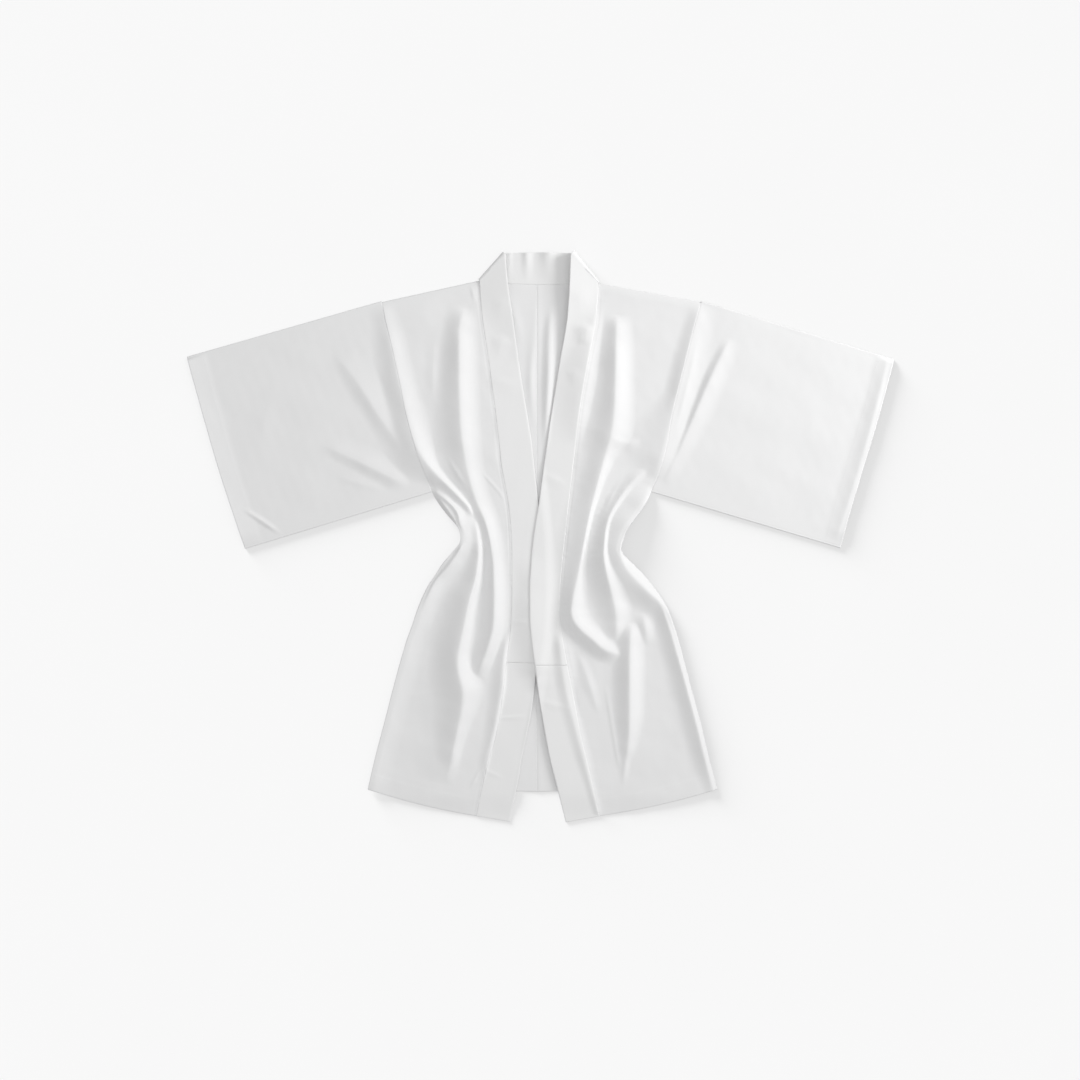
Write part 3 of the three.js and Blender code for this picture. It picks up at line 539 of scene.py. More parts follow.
# The folds of the side that lies on the floor, which rise a little off it.
UNDER_FOLDS = crests({
    "back, right": [
        (-150, 330, 0, 26, 26), (-140, 180, 0.9, 28, 28), (-112, 40, 1.0, 20, 22),
        (-118, -120, 1.0, 30, 28), (-160, -330, 0, 26, 26),
    ],
    "back, left": [
        (140, 340, 0, 26, 26), (132, 200, 1.0, 28, 28), (96, 40, 1.0, 20, 20),
        (120, -140, 1.0, 28, 30), (150, -340, 0, 26, 26),
    ],
    "back, middle": [
        (-40, 300, 0, 16, 16), (-44, 60, 0.8, 14, 14), (-52, -200, 0.9, 18, 18),
        (-70, -370, 0, 16, 16),
    ],
    "sleeve, right": [(-330, 280, 0, 26, 26), (-300, 200, 0.9, 28, 26), (-270, 110, 0, 22, 22)],
    "sleeve, left": [(360, 270, 0, 26, 26), (320, 190, 0.9, 28, 28), (280, 110, 0, 22, 22)],
})

# the size, the height and the seed of each swell
SWELLS = {
    "back": [(46, 0.12, 3)],
    "back, below": [(60, 0.1, 4)],
    "front": [(70, 0.28, 11), (24, 0.07, 12)],
    "sleeve": [(80, 0.3, 21), (26, 0.06, 22)],
    "sleeve, below": [(60, 0.12, 23)],
    "band": [(50, 0.15, 31)],
}
WAVES = 14  # how many make a swell
WAVE_SIZES = (0.7, 1.6)  # as shares of the swell's size


def unevenness(x, y, size, height, seed):
    """A faint swell of about this size, the sum of waves in random directions."""
    random = np.random.default_rng(seed)
    total = np.zeros(np.shape(x))
    for _ in range(WAVES):
        turn, phase = random.uniform(0, 2 * math.pi, 2)
        step = 2 * math.pi / (size * random.uniform(*WAVE_SIZES))
        total += np.cos(step * (x * math.cos(turn) + y * math.sin(turn)) + phase)
    return height * total / math.sqrt(WAVES)


def swell(name, x, y):
    return sum(unevenness(x, y, *waves) for waves in SWELLS[name])


print("small creases:", sum(map(len, (FRONT_CREASES, BAND_CREASES, SLEEVE_CREASES, BACK_CREASES))))

# %% [markdown]
# ## Making a sheet
#
# A sheet has an upper and a lower grid of points, joined all round their edge into one closed
# shell. The rows and columns crowd at the edges, because that is where a hem or a seam turns
# down within a millimetre or two. Every sheet also gets a UV map in metres along the cloth's
# own threads, so the weave can follow the cloth and not the floor.

# %% Making a sheet
EDGE_STEPS = (0, 0.4, 0.9, 1.5, 2.3, 3.4)  # distances from an edge at which the grid has a line


def grid_shares(length, step):
    """Places from 0 to 1 along a length, crowded at both ends."""
    edge = np.array(EDGE_STEPS) / length
    lines = max(2, round((length - 2 * EDGE_STEPS[-1]) / step) + 1)
    inner = np.linspace(edge[-1], 1 - edge[-1], lines)
    return np.concatenate([edge[:-1], inner, 1 - edge[-2::-1]])


def lengths_along(grid):
    """How far each point of a grid lies from the first column, and from the first row."""
    across, down = (np.linalg.norm(np.diff(grid, axis=n), axis=2).cumsum(n) for n in (1, 0))
    return np.pad(across, ((0, 0), (1, 0))), np.pad(down, ((1, 0), (0, 0)))


def turn_down(distance, depth, reach):
    """How far cloth drops as it turns over an edge, along a quarter circle: 0 from reach on."""
    near = 1 - np.clip(distance / reach, 0, 1)
    return depth * (1 - np.sqrt(np.clip(1 - near**2, 0, 1)))


def make_sheet(name, top, bottom, grain, wrap=False):
    """A closed shell from two grids of points in millimetres, with its UV map."""

    def quads(*corners):
        """Faces by their corners, each one a layer (0 on top, 1 below), a row and a column."""
        return np.stack([np.stack(np.broadcast_arrays(*corner), -1) for corner in corners], 1)

    rows, columns = top.shape[:2]
    vertices = np.concatenate([top.reshape(-1, 3), bottom.reshape(-1, 3)]) * MM
    cells = columns if wrap else columns - 1
    r, c = np.meshgrid(np.arange(rows - 1), np.arange(cells), indexing="ij")
    r, c, k = r.ravel(), c.ravel(), np.arange(cells)
    end, last = rows - 1, columns - 1
    faces = [
        quads((0, r, c), (0, r, c + 1), (0, r + 1, c + 1), (0, r + 1, c)),
        quads((1, r, c), (1, r + 1, c), (1, r + 1, c + 1), (1, r, c + 1)),
        quads((0, 0, k), (1, 0, k), (1, 0, k + 1), (0, 0, k + 1)),
        quads((0, end, k), (0, end, k + 1), (1, end, k + 1), (1, end, k)),
    ]
    if not wrap:
        k = np.arange(rows - 1)
        faces += [
            quads((0, k, 0), (0, k + 1, 0), (1, k + 1, 0), (1, k, 0)),
            quads((0, k, last), (1, k, last), (1, k + 1, last), (0, k + 1, last)),
        ]
    faces = np.concatenate(faces)
    index = (faces[..., 0] * rows + faces[..., 1]) * columns + faces[..., 2] % columns
    a, b, c = (vertices[index[:, n]] for n in (0, 1, 2))
    if np.einsum("ij,ij->", a, np.cross(b, c)) < 0:  # the volume, so the shell is inside out
        faces, index = faces[:, ::-1], index[:, ::-1]
    mesh = bpy.data.meshes.new(name)
    mesh.from_pydata(vertices.tolist(), [], index.tolist())
    mesh.shade_smooth()
    threads = mesh.uv_layers.new(name="grain")
    threads.uv.foreach_set("vector", (grain[faces[..., 1], faces[..., 2]] * MM).ravel())
    piece = bpy.data.objects.new(name, mesh)
    scene.collection.objects.link(piece)
    print(f"{name}: {2 * len(mesh.polygons)} triangles")
    return piece


def sheet_area(piece):
    """The cloth in a thin closed shell, in square metres: half its surface."""
    return sum(face.area for face in piece.data.polygons) / 2


# %% [markdown]
# ## The backs
#
# The back is two half panels, sewn down the middle. It is seen in the neck opening and in the
# gap below the lap, and from below. Its middle seam shows as a fine groove with the seam
# allowance as a flat step beside it, and its hem is turned up 30 mm.

# %% Backs
STEP = 2.1  # the size of a cell on the cloth that shows
HIDDEN_STEP, HIDDEN_COLUMN = 4.2, 0.8  # where it doesn't show, and a column's share of that
BACK_HEM, FRONT_HEM, CUFF_HEM = 30, 27, 27
HEM_STEP = 0.22  # how much higher the doubled cloth of a hem lies
HEM_SLOPE = 2.5  # half the distance over which it steps down
BACK_WIDTH, FRONT_WIDTH = 230, 200  # near enough to share out the columns
TOP_BEND = 0.12  # the share of the way down over which the rows straighten
# How deep the cloth turns down, and how far from the edge the turn begins.
HEM_TURN, CENTRE_TURN = (0.8, 1.8), (0.18, 1.2)
HEM_TURN_BELOW, CENTRE_TURN_BELOW = (0.35, 1.2), (0.3, 1.6)
FLAT_EDGE = (2, 18)  # near its edges the hidden side lies flat
BACK_LIFT, BACK_THINNEST = 1.1, 0.25  # how far that side may rise, and how thin it leaves it


def hem_share(from_hem, width):
    """1 where a hem doubles the cloth, and 0 past it."""
    return 1 - ease(from_hem, width - HEM_SLOPE, width + HEM_SLOPE)


def make_back(side):
    neck_x = BAND_ENDS[side]["neck"][0]
    down = grid_shares(SHOULDER_Y - SIDE_HEM_Y, HIDDEN_STEP)[:, None]
    across = grid_shares(BACK_WIDTH, HIDDEN_STEP * HIDDEN_COLUMN)[None, :]
    outer_y = mix(SHOULDER_Y, SIDE_HEM_Y, down)
    x = mix(CENTRE_BACK_X, side_x[side](outer_y), across)
    y = mix(mix(NECK_SEAM_Y, BACK_HEM_Y, down), outer_y, across)
    top_edge = np.where(np.abs(x) < abs(neck_x), neck_seam_y(x), shoulder_y(side, x))
    y = y + (top_edge - mix(NECK_SEAM_Y, SHOULDER_Y, across)) * (1 - ease(down, 0, TOP_BEND))
    from_centre, from_top = lengths_along(grid_of(x, y))
    from_side, from_hem = from_centre[:, -1:] - from_centre, from_top[-1:] - from_top
    under = back_under(x, y)
    z = under + CLOTH * steepness(x, y, under)
    z += creased(BACK_CREASES, x, y) + HEM_STEP * hem_share(from_hem, BACK_HEM)
    z += swell("back", x, y)
    z -= turn_down(from_centre, *CENTRE_TURN) + turn_down(from_hem, *HEM_TURN)
    lifted = creased(UNDER_FOLDS, x, y) * ease(from_side, *FLAT_EDGE) * ease(from_hem, *FLAT_EDGE)
    lower = under + np.clip(lifted + swell("back, below", x, y), 0, BACK_LIFT)
    lower += turn_down(from_hem, *HEM_TURN_BELOW) + turn_down(from_centre, *CENTRE_TURN_BELOW)
    lower = np.minimum(lower, z - BACK_THINNEST)
    grain = grid_of(from_centre, from_top)
    return make_sheet(f"cloth_back_{side}", grid_of(x, y, z), grid_of(x, y, lower), grain)


backs = {side: make_back(side) for side in OUTWARD}

# %% [markdown]
# ## The fronts
#
# Each front hangs from the shoulder seam and is sewn to the band, the sleeve and the back. At
# the shoulder it turns down over the edge of the back. The side seams stand up where the waist
# is drawn in.

# %% Fronts
UNDER_BAND = 0.7  # how far the front reaches under the band's edge
SEAM_PUCKER = 0.22  # the small waves that the stitching draws in along the band
PUCKER_SIZE, PUCKER_FADE, PUCKER_SEED = 9, 6, 13
PUCKER_SLANT = 0.25  # below 1 the waves run across the seam
SEAM_LINE = (0.35, 4.4, 0.9)  # the seam allowance's edge, pressed in: depth, place, width
SIDE_TURN, ARMHOLE_TURN, SIDE_REACH = 0.75, 0.5, 1.5
BAND_TURN = (0.3, 1.2)
SHOULDER_TURN, SHOULDER_TURN_BELOW = (2.2, 2.6), (2.0, 2.6)
CREASE_EASE = dict(side=8, band=3)  # how far from a seam creases and swells are whole
SWELL_EASE = dict(side=14, band=10, top=14)
ARMHOLE_END = 3  # half the distance over which the armhole's seam gives way to the side's
BOW_START = 0.75  # the share of the way down from which the rows follow the hem's bow
LINE_START = 0.02  # and over which the seam line comes in
FRONT_HEM_FULL = 0.5  # how much thicker the doubled hem is
FRONT_THINNEST, FRONT_LOWEST = 0.2, 0.5


def pressed_line(distance, depth, place, width):
    """A soft groove at one distance, such as the line beside a seam."""
    return depth * np.exp(-(((distance - place) / width) ** 2))


def hem_bow(share):
    return HEM_BOW * 4 * share * (1 - share)


def make_front(side):
    ends = BAND_ENDS[side]
    down = grid_shares(SHOULDER_Y - SIDE_HEM_Y, STEP)[:, None]
    across = grid_shares(FRONT_WIDTH, STEP)[None, :]
    outer_y = mix(SHOULDER_Y, SIDE_HEM_Y, down)
    inner_y = mix(ends["neck"][1], ends["hem_seam"], down)
    inner = seam_x[side](inner_y) - OUTWARD[side] * UNDER_BAND
    x = mix(inner, side_x[side](outer_y), across)
    y = mix(inner_y, outer_y, across) - hem_bow(across) * ease(down, BOW_START, 1)
    from_band, from_top = lengths_along(grid_of(x, y))
    from_side, from_hem = from_band[:, -1:] - from_band, from_top[-1:] - from_top
    under = front_under(side, x, y)
    steep = steepness(x, y, under)
    z = under + CLOTH * steep
    whole = ease(from_side, 0, CREASE_EASE["side"])
    z += creased(FRONT_CREASES, x, y) * whole * ease(from_band, 0, CREASE_EASE["band"])
    hem = hem_share(from_hem, FRONT_HEM)
    z += HEM_STEP * hem
    calm = ease(from_side, 0, SWELL_EASE["side"]) * ease(from_band, 0, SWELL_EASE["band"])
    z += calm * ease(from_top, 0, SWELL_EASE["top"]) * swell("front", x, y)
    z -= pressed_line(from_band, *SEAM_LINE) * ease(down, 0, LINE_START)
    pucker = unevenness(from_top, from_band * PUCKER_SLANT, PUCKER_SIZE, 1, PUCKER_SEED)
    z += SEAM_PUCKER * np.exp(-from_band / PUCKER_FADE) * pucker
    at_armhole = ease(outer_y, UNDERARM_Y - ARMHOLE_END, UNDERARM_Y + ARMHOLE_END)
    side_turn = mix(SIDE_TURN, ARMHOLE_TURN, at_armhole)
    z -= turn_down(from_side, side_turn, SIDE_REACH) + turn_down(from_band, *BAND_TURN)
    lower = z - (THIN * steep + FRONT_HEM_FULL * hem)
    z -= turn_down(from_top, *SHOULDER_TURN) + turn_down(from_hem, *HEM_TURN)
    lower -= turn_down(from_top, *SHOULDER_TURN_BELOW)
    lower = np.maximum(np.minimum(lower, z - FRONT_THINNEST), 0)
    z = np.maximum(z, FRONT_LOWEST)
    grain = grid_of(from_band, from_top)
    return make_sheet(f"cloth_front_{side}", grid_of(x, y, z), grid_of(x, y, lower), grain)


fronts = {side: make_front(side) for side in OUTWARD}

# %% [markdown]
# ## The sleeves
#
# A kimono's sleeve is one straight piece, folded at the top and sewn together below. Laid down
# it is a tube pressed nearly flat. So its grid runs round the tube: down the side that shows,
# round the lower seam, back up the hidden side and over the fold. The opening has a hem.

# %% Sleeves
SLEEVE_LENGTH, SLEEVE_WIDTH = 315, 320  # near enough to share out the rows and columns
SLEEVE_TUCK = 0.2  # how far the sleeve reaches into the armhole
FOLD_EDGE, SLEEVE_EDGE = 0.02, 0.085  # shares of the width over which folds fade, top and bottom
HEM_EDGE = 0.01  # the same for the hem's step
TURN_STEPS = 9
CUFF_CURL = {"right": 4.4, "left": 2.8}  # how far the edge of the opening lifts
CURL_REACH, CURL_POWER = 34, 1.4
SLEEVE_LINE = (0.15, 1.4, 1.1)  # the stitched line beside the lower seam: depth, place, width
ARMHOLE_DIP = (0.45, 1.5)
ARMHOLE_EASE, HIDDEN_EASE = 14, 20  # how far from the armhole or cuff the cloth is free
CUFF_FULL = 0.4  # how much thicker the doubled cuff is


def make_sleeve(side):
    along = grid_shares(SLEEVE_LENGTH, STEP)[:, None]
    shown = grid_shares(SLEEVE_WIDTH, STEP)[::-1]
    hidden = grid_shares(SLEEVE_WIDTH, HIDDEN_STEP)
    outer_radius = SLEEVE_LIFT / 2 + CLOTH

    def place(share):
        seam_y = mix(SHOULDER_Y, UNDERARM_Y, share)
        seam = side_x[side](seam_y) - SLEEVE_TUCK * OUTWARD[side]
        return mix(seam, cuff_x[side](share), along), mix(seam_y, cuff_y[side](share), along)

    def turned(share, angles):
        """The rounded edge of the tube, as outer and inner points."""
        (x, y), (far_x, far_y) = place(np.array([share])), place(np.array([1 - share]))
        length = np.hypot(x - far_x, y - far_y)
        dx, dy = (x - far_x) / length, (y - far_y) / length
        rings = []
        for radius in (outer_radius, outer_radius - THIN):
            reach, rise = radius * np.cos(angles), outer_radius + radius * np.sin(angles)
            rings.append(grid_of(x + dx * reach, y + dy * reach, rise))
        return rings

    x, y = place(shown[None, :])
    fade = (ease(shown, 0, FOLD_EDGE) * ease(1 - shown, 0, SLEEVE_EDGE))[None, :]
    ceiling = CLOTH + SLEEVE_LIFT + folded(SLEEVE, x, y) * fade
    from_armhole = lengths_along(grid_of(x, y))[1]
    from_cuff = from_armhole[-1:] - from_armhole
    steep = steepness(x, y, ceiling)
    z = ceiling + CLOTH * steep
    calm = fade * ease(from_armhole, 0, ARMHOLE_EASE)
    z += creased(SLEEVE_CREASES, x, y) * calm
    z += calm * swell("sleeve", x, y)
    hem = hem_share(from_cuff, CUFF_HEM)
    z += HEM_STEP * hem * ease(np.minimum(shown, 1 - shown)[None, :], 0, HEM_EDGE)
    z -= turn_down(from_armhole, *ARMHOLE_DIP)
    z -= pressed_line((1 - shown)[None, :] * SLEEVE_WIDTH, *SLEEVE_LINE)
    inside = z - (THIN * steep + CUFF_FULL * hem)
    z = z - turn_down(from_cuff, *HEM_TURN)
    curl = CUFF_CURL[side] * np.clip(1 - from_cuff / CURL_REACH, 0, 1) ** CURL_POWER * fade
    z, inside = z + curl, inside + curl

    hx, hy = place(hidden[None, :])
    from_armhole = lengths_along(grid_of(hx, hy))[1]
    hidden_fade = ease(np.minimum(hidden, 1 - hidden), 0, SLEEVE_EDGE)[None, :]
    lifted = creased(UNDER_FOLDS, hx, hy) + swell("sleeve, below", hx, hy)
    lifted = np.clip(lifted, 0, 1) * hidden_fade * ease(from_armhole, 0, HIDDEN_EASE)
    lifted *= ease(from_armhole[-1:] - from_armhole, 0, HIDDEN_EASE)

    steps = np.arange(1, TURN_STEPS + 1) / (TURN_STEPS + 1)
    fold = turned(0, ((0.5 - steps) * np.pi)[None, :])
    seam = turned(1, ((steps - 0.5) * np.pi)[None, :])
    outer, inner = (
        np.concatenate([grid_of(x, y, above), fold[n], grid_of(hx, hy, below), seam[n]], 1)
        for n, (above, below) in enumerate([(z, lifted), (inside, lifted + THIN)])
    )
    around, lengthwise = lengths_along(np.concatenate([outer, outer[:, :1]], 1))
    return make_sheet(f"cloth_sleeve_{side}", outer, inner, grid_of(lengthwise, around), wrap=True)


sleeves = {side: make_sleeve(side) for side in OUTWARD}

# %% [markdown]
# ## The band
#
# One long band of doubled cloth runs from the right joining seam up the front, folds over at
# the neck, passes behind it, and comes down the left front. It is made as a middle surface with
# a wall on both sides, so it can turn over on itself, and the wall thins to a round edge.

# %% Collar band
BAND_WIDTH = 50
ARM_ROWS, TURN_ROWS, NECK_ROWS = 290, 16, 84
NECK_EASE = dict(seam=350, edge=255, done=6)  # the heights between which the band rises
ARM_TILT, ARM_CLOSE = 0.7, 0.92  # shares of the way up an arm
GATHER_HEIGHT, GATHER_POWER = 3.2, 1.4  # they grow towards the free edge
GATHERS = [(-50, 0.7, 8), (-22, 1, 13), (13, 1.7, 25)]  # x, share of the height, width
ROUND_EDGE = dict(seam=1.2, right=3.4, left=1.6)
SEAM_THINS, FREE_THINS = 0.8, 0.85  # the share of its wall that the band loses at each edge
END_THINS, END_ROUND = dict(collar=0.5, lower=0.6), 1.2
MIDDLE = 30  # this near the middle the one free edge goes over into the other


def turn_radius(side, share):
    return mix(TURN_RADIUS["neck"], TURN_RADIUS[side], share)


def fold_point(side, share):
    (nx, ny), (tx, ty) = BAND_ENDS[side]["neck"], BAND_ENDS[side]["top"]
    return mix(nx, tx, share), mix(ny, ty, share)


def band_point(side, seam_y, edge_y, share):
    return mix(seam_x[side](seam_y), edge_x[side](edge_y), share), mix(seam_y, edge_y, share)


def arm_rows(side, share):
    """The band up one front, from the joining seam to the fold at the neck."""
    ends = BAND_ENDS[side]
    rise = ends["top"][1] - ends["neck"][1]
    along = np.linspace(0, 1, ARM_ROWS)[:, None]
    seam_y = mix(ends["join"], ends["neck"][1], along)
    edge_y = seam_y + rise * ease(along, ARM_TILT, 1)
    x, y = band_point(side, seam_y, edge_y, share)
    under = band_under(side, x, y)
    flat = under + BAND / 2 * steepness(x, y, under)
    flat += creased(BAND_CREASES, x, y) + swell("band", x, y)
    raised = BAND / 2 + 2 * turn_radius(side, share)
    start = mix(NECK_EASE["seam"], NECK_EASE["edge"], share)
    eased = ease(y, start, mix(ends["neck"][1] - NECK_EASE["done"], ends["top"][1], share))
    fx, fy = fold_point(side, share)
    close = ease(along, ARM_CLOSE, 1)
    return grid_of(mix(x, fx, close), mix(y, fy, close), mix(flat, raised, eased))


def turn_rows(side, share):
    """The half circle in which the band turns over beside the neck."""
    (nx, ny), (tx, ty) = BAND_ENDS[side]["neck"], BAND_ENDS[side]["top"]
    length = math.hypot(tx - nx, ty - ny)
    out = (OUTWARD[side] * (ty - ny) / length, abs(tx - nx) / length)
    angle = (np.arange(1, TURN_ROWS) / TURN_ROWS * np.pi)[:, None]
    radius = turn_radius(side, share)
    fx, fy = fold_point(side, share)
    reach = radius * np.sin(angle)
    height = BAND / 2 + radius * (1 + np.cos(angle))
    return grid_of(fx + out[0] * reach, fy + out[1] * reach, height)


def neck_rows(share):
    """The band behind the neck, where its free edge is a little gathered."""
    along = np.linspace(0, 1, NECK_ROWS)[:, None]
    seam = mix(BAND_ENDS["right"]["neck"][0], BAND_ENDS["left"]["neck"][0], along)
    edge = mix(BAND_ENDS["right"]["top"][0], BAND_ENDS["left"]["top"][0], along)
    x = mix(seam, edge, share)
    y = mix(neck_seam_y(seam), COLLAR_TOP_Y - np.abs(2 * along - 1), share)
    waves = np.max([h * np.exp(-(((x - gx) / w) ** 2) * 4) for gx, h, w in GATHERS], axis=0)
    z = BAND / 2 + GATHER_HEIGHT * waves * share**GATHER_POWER * np.sin(np.pi * along) ** 0.5
    return grid_of(x, y, z)


def band_fullness(across, from_end, free_round, end_thins):
    """1 inside the band, and less where its wall rounds off at the edges and the ends."""
    at_seam = turn_down(across, SEAM_THINS, ROUND_EDGE["seam"])
    at_edge = turn_down(across[:, -1:] - across, FREE_THINS, free_round)
    at_end = turn_down(from_end, end_thins, END_ROUND)
    return np.minimum(1 - np.maximum(at_seam, at_edge), 1 - at_end)


def make_collar():
    share = grid_shares(BAND_WIDTH, STEP)[None, :]
    middle = np.concatenate([
        arm_rows("right", share), turn_rows("right", share), neck_rows(share),
        turn_rows("left", share)[::-1], arm_rows("left", share)[::-1],
    ])
    across, down = lengths_along(middle)
    from_end = np.minimum(down, down[-1:] - down)
    free_round = mix(ROUND_EDGE["right"], ROUND_EDGE["left"], ease(middle[..., 0], -MIDDLE, MIDDLE))
    half = BAND / 2 * band_fullness(across, from_end, free_round, END_THINS["collar"])
    wall = surface_normals(middle) * half[..., None]
    return make_sheet("cloth_collar", middle + wall, middle - wall, grid_of(across, down))


collar = make_collar()

# %% [markdown]
# ## The lower bands
#
# Below its joining seams the band goes on to the hem as two short pieces. They lie flat on the
# cloth below, so each is a plain sheet with the same round edges as the long one.

# %% Lower bands
BAND_LOWEST = 0.6  # the least height of the upper face


def make_lower_band(side):
    ends = BAND_ENDS[side]
    down = grid_shares(ends["join"] - ends["hem_seam"], STEP)[:, None]
    share = grid_shares(BAND_WIDTH, STEP)[None, :]
    seam_y, edge_y = (mix(ends["join"], ends[end], down) for end in ("hem_seam", "hem_edge"))
    x, y = band_point(side, seam_y, edge_y, share)
    across, from_join = lengths_along(grid_of(x, y))
    from_end = np.minimum(from_join, from_join[-1:] - from_join)
    under = band_under(side, x, y)
    steep = steepness(x, y, under)
    middle = under + BAND / 2 * steep
    middle += creased(BAND_CREASES, x, y) + swell("band", x, y)
    middle = np.maximum(middle, BAND / 2)
    fullness = band_fullness(across, from_end, ROUND_EDGE[side], END_THINS["lower"])
    half = BAND / 2 * steep * fullness
    top = grid_of(x, y, np.maximum(middle + half, BAND_LOWEST))
    bottom = grid_of(x, y, np.maximum(middle - half, 0))
    return make_sheet(f"cloth_band_lower_{side}", top, bottom, grid_of(across, from_join))


lower_bands = {side: make_lower_band(side) for side in OUTWARD}

# %% [markdown]
# ## Shader maths
#
# A material is a net of nodes. The small class below holds one socket of that net and lets it be
# added and multiplied like a number, so a weave can be written as one line of sums. Colours go
# through a Mix node, because a Math node would turn them grey.

# %% Shader maths
class Shade:
    """One socket of a material's nodes, which sums and multiplies like a number."""

    def __init__(self, tree, socket=None):
        self.tree, self.socket = tree, socket

    def node(self, kind, settings=None, inputs=None, output=0):
        """A new node: its settings are set first, then the values or links of its sockets."""
        made = self.tree.nodes.new(kind)
        for key, value in (settings or {}).items():
            setattr(made, key, value)
        for key, value in (inputs or {}).items():
            if isinstance(value, Shade):
                self.tree.links.new(value.socket, made.inputs[key])
            else:
                made.inputs[key].default_value = value
        return Shade(self.tree, made.outputs[output])

    def _math(self, operation, *values):
        return self.node("ShaderNodeMath", {"operation": operation}, dict(enumerate(values)))

    def __add__(self, other):
        return self._math("ADD", self, other)

    def __sub__(self, other):
        return self._math("SUBTRACT", self, other)

    def __rsub__(self, other):
        return self._math("SUBTRACT", other, self)

    def __mul__(self, other):
        return self._math("MULTIPLY", self, other)

    __radd__, __rmul__ = __add__, __mul__

    def sine(self):
        return self._math("SINE", self)

    def noise(self, scale, detail):
        """Noise at the places that this socket gives."""
        inputs = {"Vector": self, "Scale": scale, "Detail": detail}
        return self.node("ShaderNodeTexNoise", inputs=inputs)

    def between(self, low, high):
        """A colour that goes from low to high with this socket. 6, 7 and 2 are its sockets."""
        colours = {"Factor": self, 6: (*low, 1), 7: (*high, 1)}
        return self.node("ShaderNodeMix", {"data_type": "RGBA"}, colours, output=2)


def new_material(name, fixed):
    """A material with a Principled shader, and the numbers that are the same all over it."""
    material = bpy.data.materials.new(name)
    material.use_nodes = True
    shader = material.node_tree.nodes["Principled BSDF"]
    for socket, value in fixed.items():
        shader.inputs[socket].default_value = value
    return material, shader, Shade(material.node_tree)


def connect(shader, shades):
    """Each shade goes to the socket of the shader that it is listed under."""
    for name, shade in shades.items():
        shade.tree.links.new(shade.socket, shader.inputs[name])


# %% [markdown]
# ## White cotton
#
# The kimono is a smooth white cotton in plain weave: each thread passes over one and under the
# next, so the surface is a fine chequer of bumps along the UV map's threads. A few threads are
# a little thicker than the rest, and the white is never quite even. The band has the same cloth,
# doubled, and looks a touch brighter.

# %% White cotton
THREAD = 0.42 * MM  # from one thread to the next
WEAVE_DEPTH = 0.00006  # metres
SLUB_ACROSS, SLUB_ALONG = 1800, 40  # how often in a metre a thicker thread begins
CLOUD_SCALE, FIBRE_SCALE = 9, 420
COTTON = {"Sheen Weight": 0.25, "Sheen Roughness": 0.5, "Specular IOR Level": 0.25}


def white_cotton(name, light, shadow):
    """A white woven cloth whose colour varies between two near whites."""
    material, shader, nodes = new_material(name, COTTON)
    grain = nodes.node("ShaderNodeUVMap", {"uv_map": "grain"})
    place = nodes.node("ShaderNodeTexCoord", output="Object")
    across, along = (
        nodes.node("ShaderNodeSeparateXYZ", inputs={0: grain}, output=n) for n in (0, 1)
    )
    turn = math.pi / THREAD
    weave = (across * turn).sine() * (along * turn).sine() * 0.5 + 0.5
    warp, weft = (
        nodes.node("ShaderNodeMapping", inputs={0: grain, "Scale": scale}).noise(1, 1)
        for scale in ((SLUB_ACROSS, SLUB_ALONG, 1), (SLUB_ALONG, SLUB_ACROSS, 1))
    )
    slub = warp * 0.5 + weft * 0.5
    tone = place.noise(CLOUD_SCALE, 3) * 0.6 + slub * 0.3 + weave * 0.1
    relief = weave * 0.5 + slub * 0.6 + place.noise(FIBRE_SCALE, 2) * 0.5
    bump = {"Strength": 0.6, "Distance": WEAVE_DEPTH, "Height": relief}
    connect(shader, {
        "Base Color": tone.between(shadow, light),
        "Roughness": 0.78 + slub * 0.12,
        "Normal": nodes.node("ShaderNodeBump", inputs=bump),
    })
    return material


cotton = white_cotton("white_cotton", (0.87, 0.87, 0.87), (0.83, 0.83, 0.832))
band_cotton = white_cotton("white_band_cotton", (0.89, 0.89, 0.888), (0.85, 0.85, 0.85))
for piece in (*backs.values(), *fronts.values(), *sleeves.values()):
    piece.data.materials.append(cotton)
for piece in (collar, *lower_bands.values()):
    piece.data.materials.append(band_cotton)
print("materials:", cotton.name, band_cotton.name)

# %% [markdown]
# ## Hem stitches
#
# The hems and the sleeve openings are sewn by hand, with only a speck of thread on the right
# side every centimetre. Geometry Nodes place them: the tree walks along a path, puts a small
# rounded stitch at every step, turns it with the path, and varies its length a little.

# %% Thread
TWIST_SCALE = 2400


def sewing_thread():
    material, shader, nodes = new_material("white_thread", {"Sheen Weight": 0.2})
    twist = nodes.node("ShaderNodeTexCoord", output="Object").noise(TWIST_SCALE, 1)
    colour = twist.between((0.80, 0.80, 0.80), (0.90, 0.90, 0.89))
    connect(shader, {"Base Color": colour, "Roughness": 0.6 + twist * 0.2})
    return material


thread = sewing_thread()


# %% A tree that sews along a path
STITCH = {"Spacing": 10 * MM, "Half Length": 1.1 * MM, "Thread Radius": 0.26 * MM}
LENGTH_SHARES = (0.75, 1.2)  # the shortest and the longest stitch
BEAD = {"Segments": 8, "Rings": 5, "Radius": 1.0}


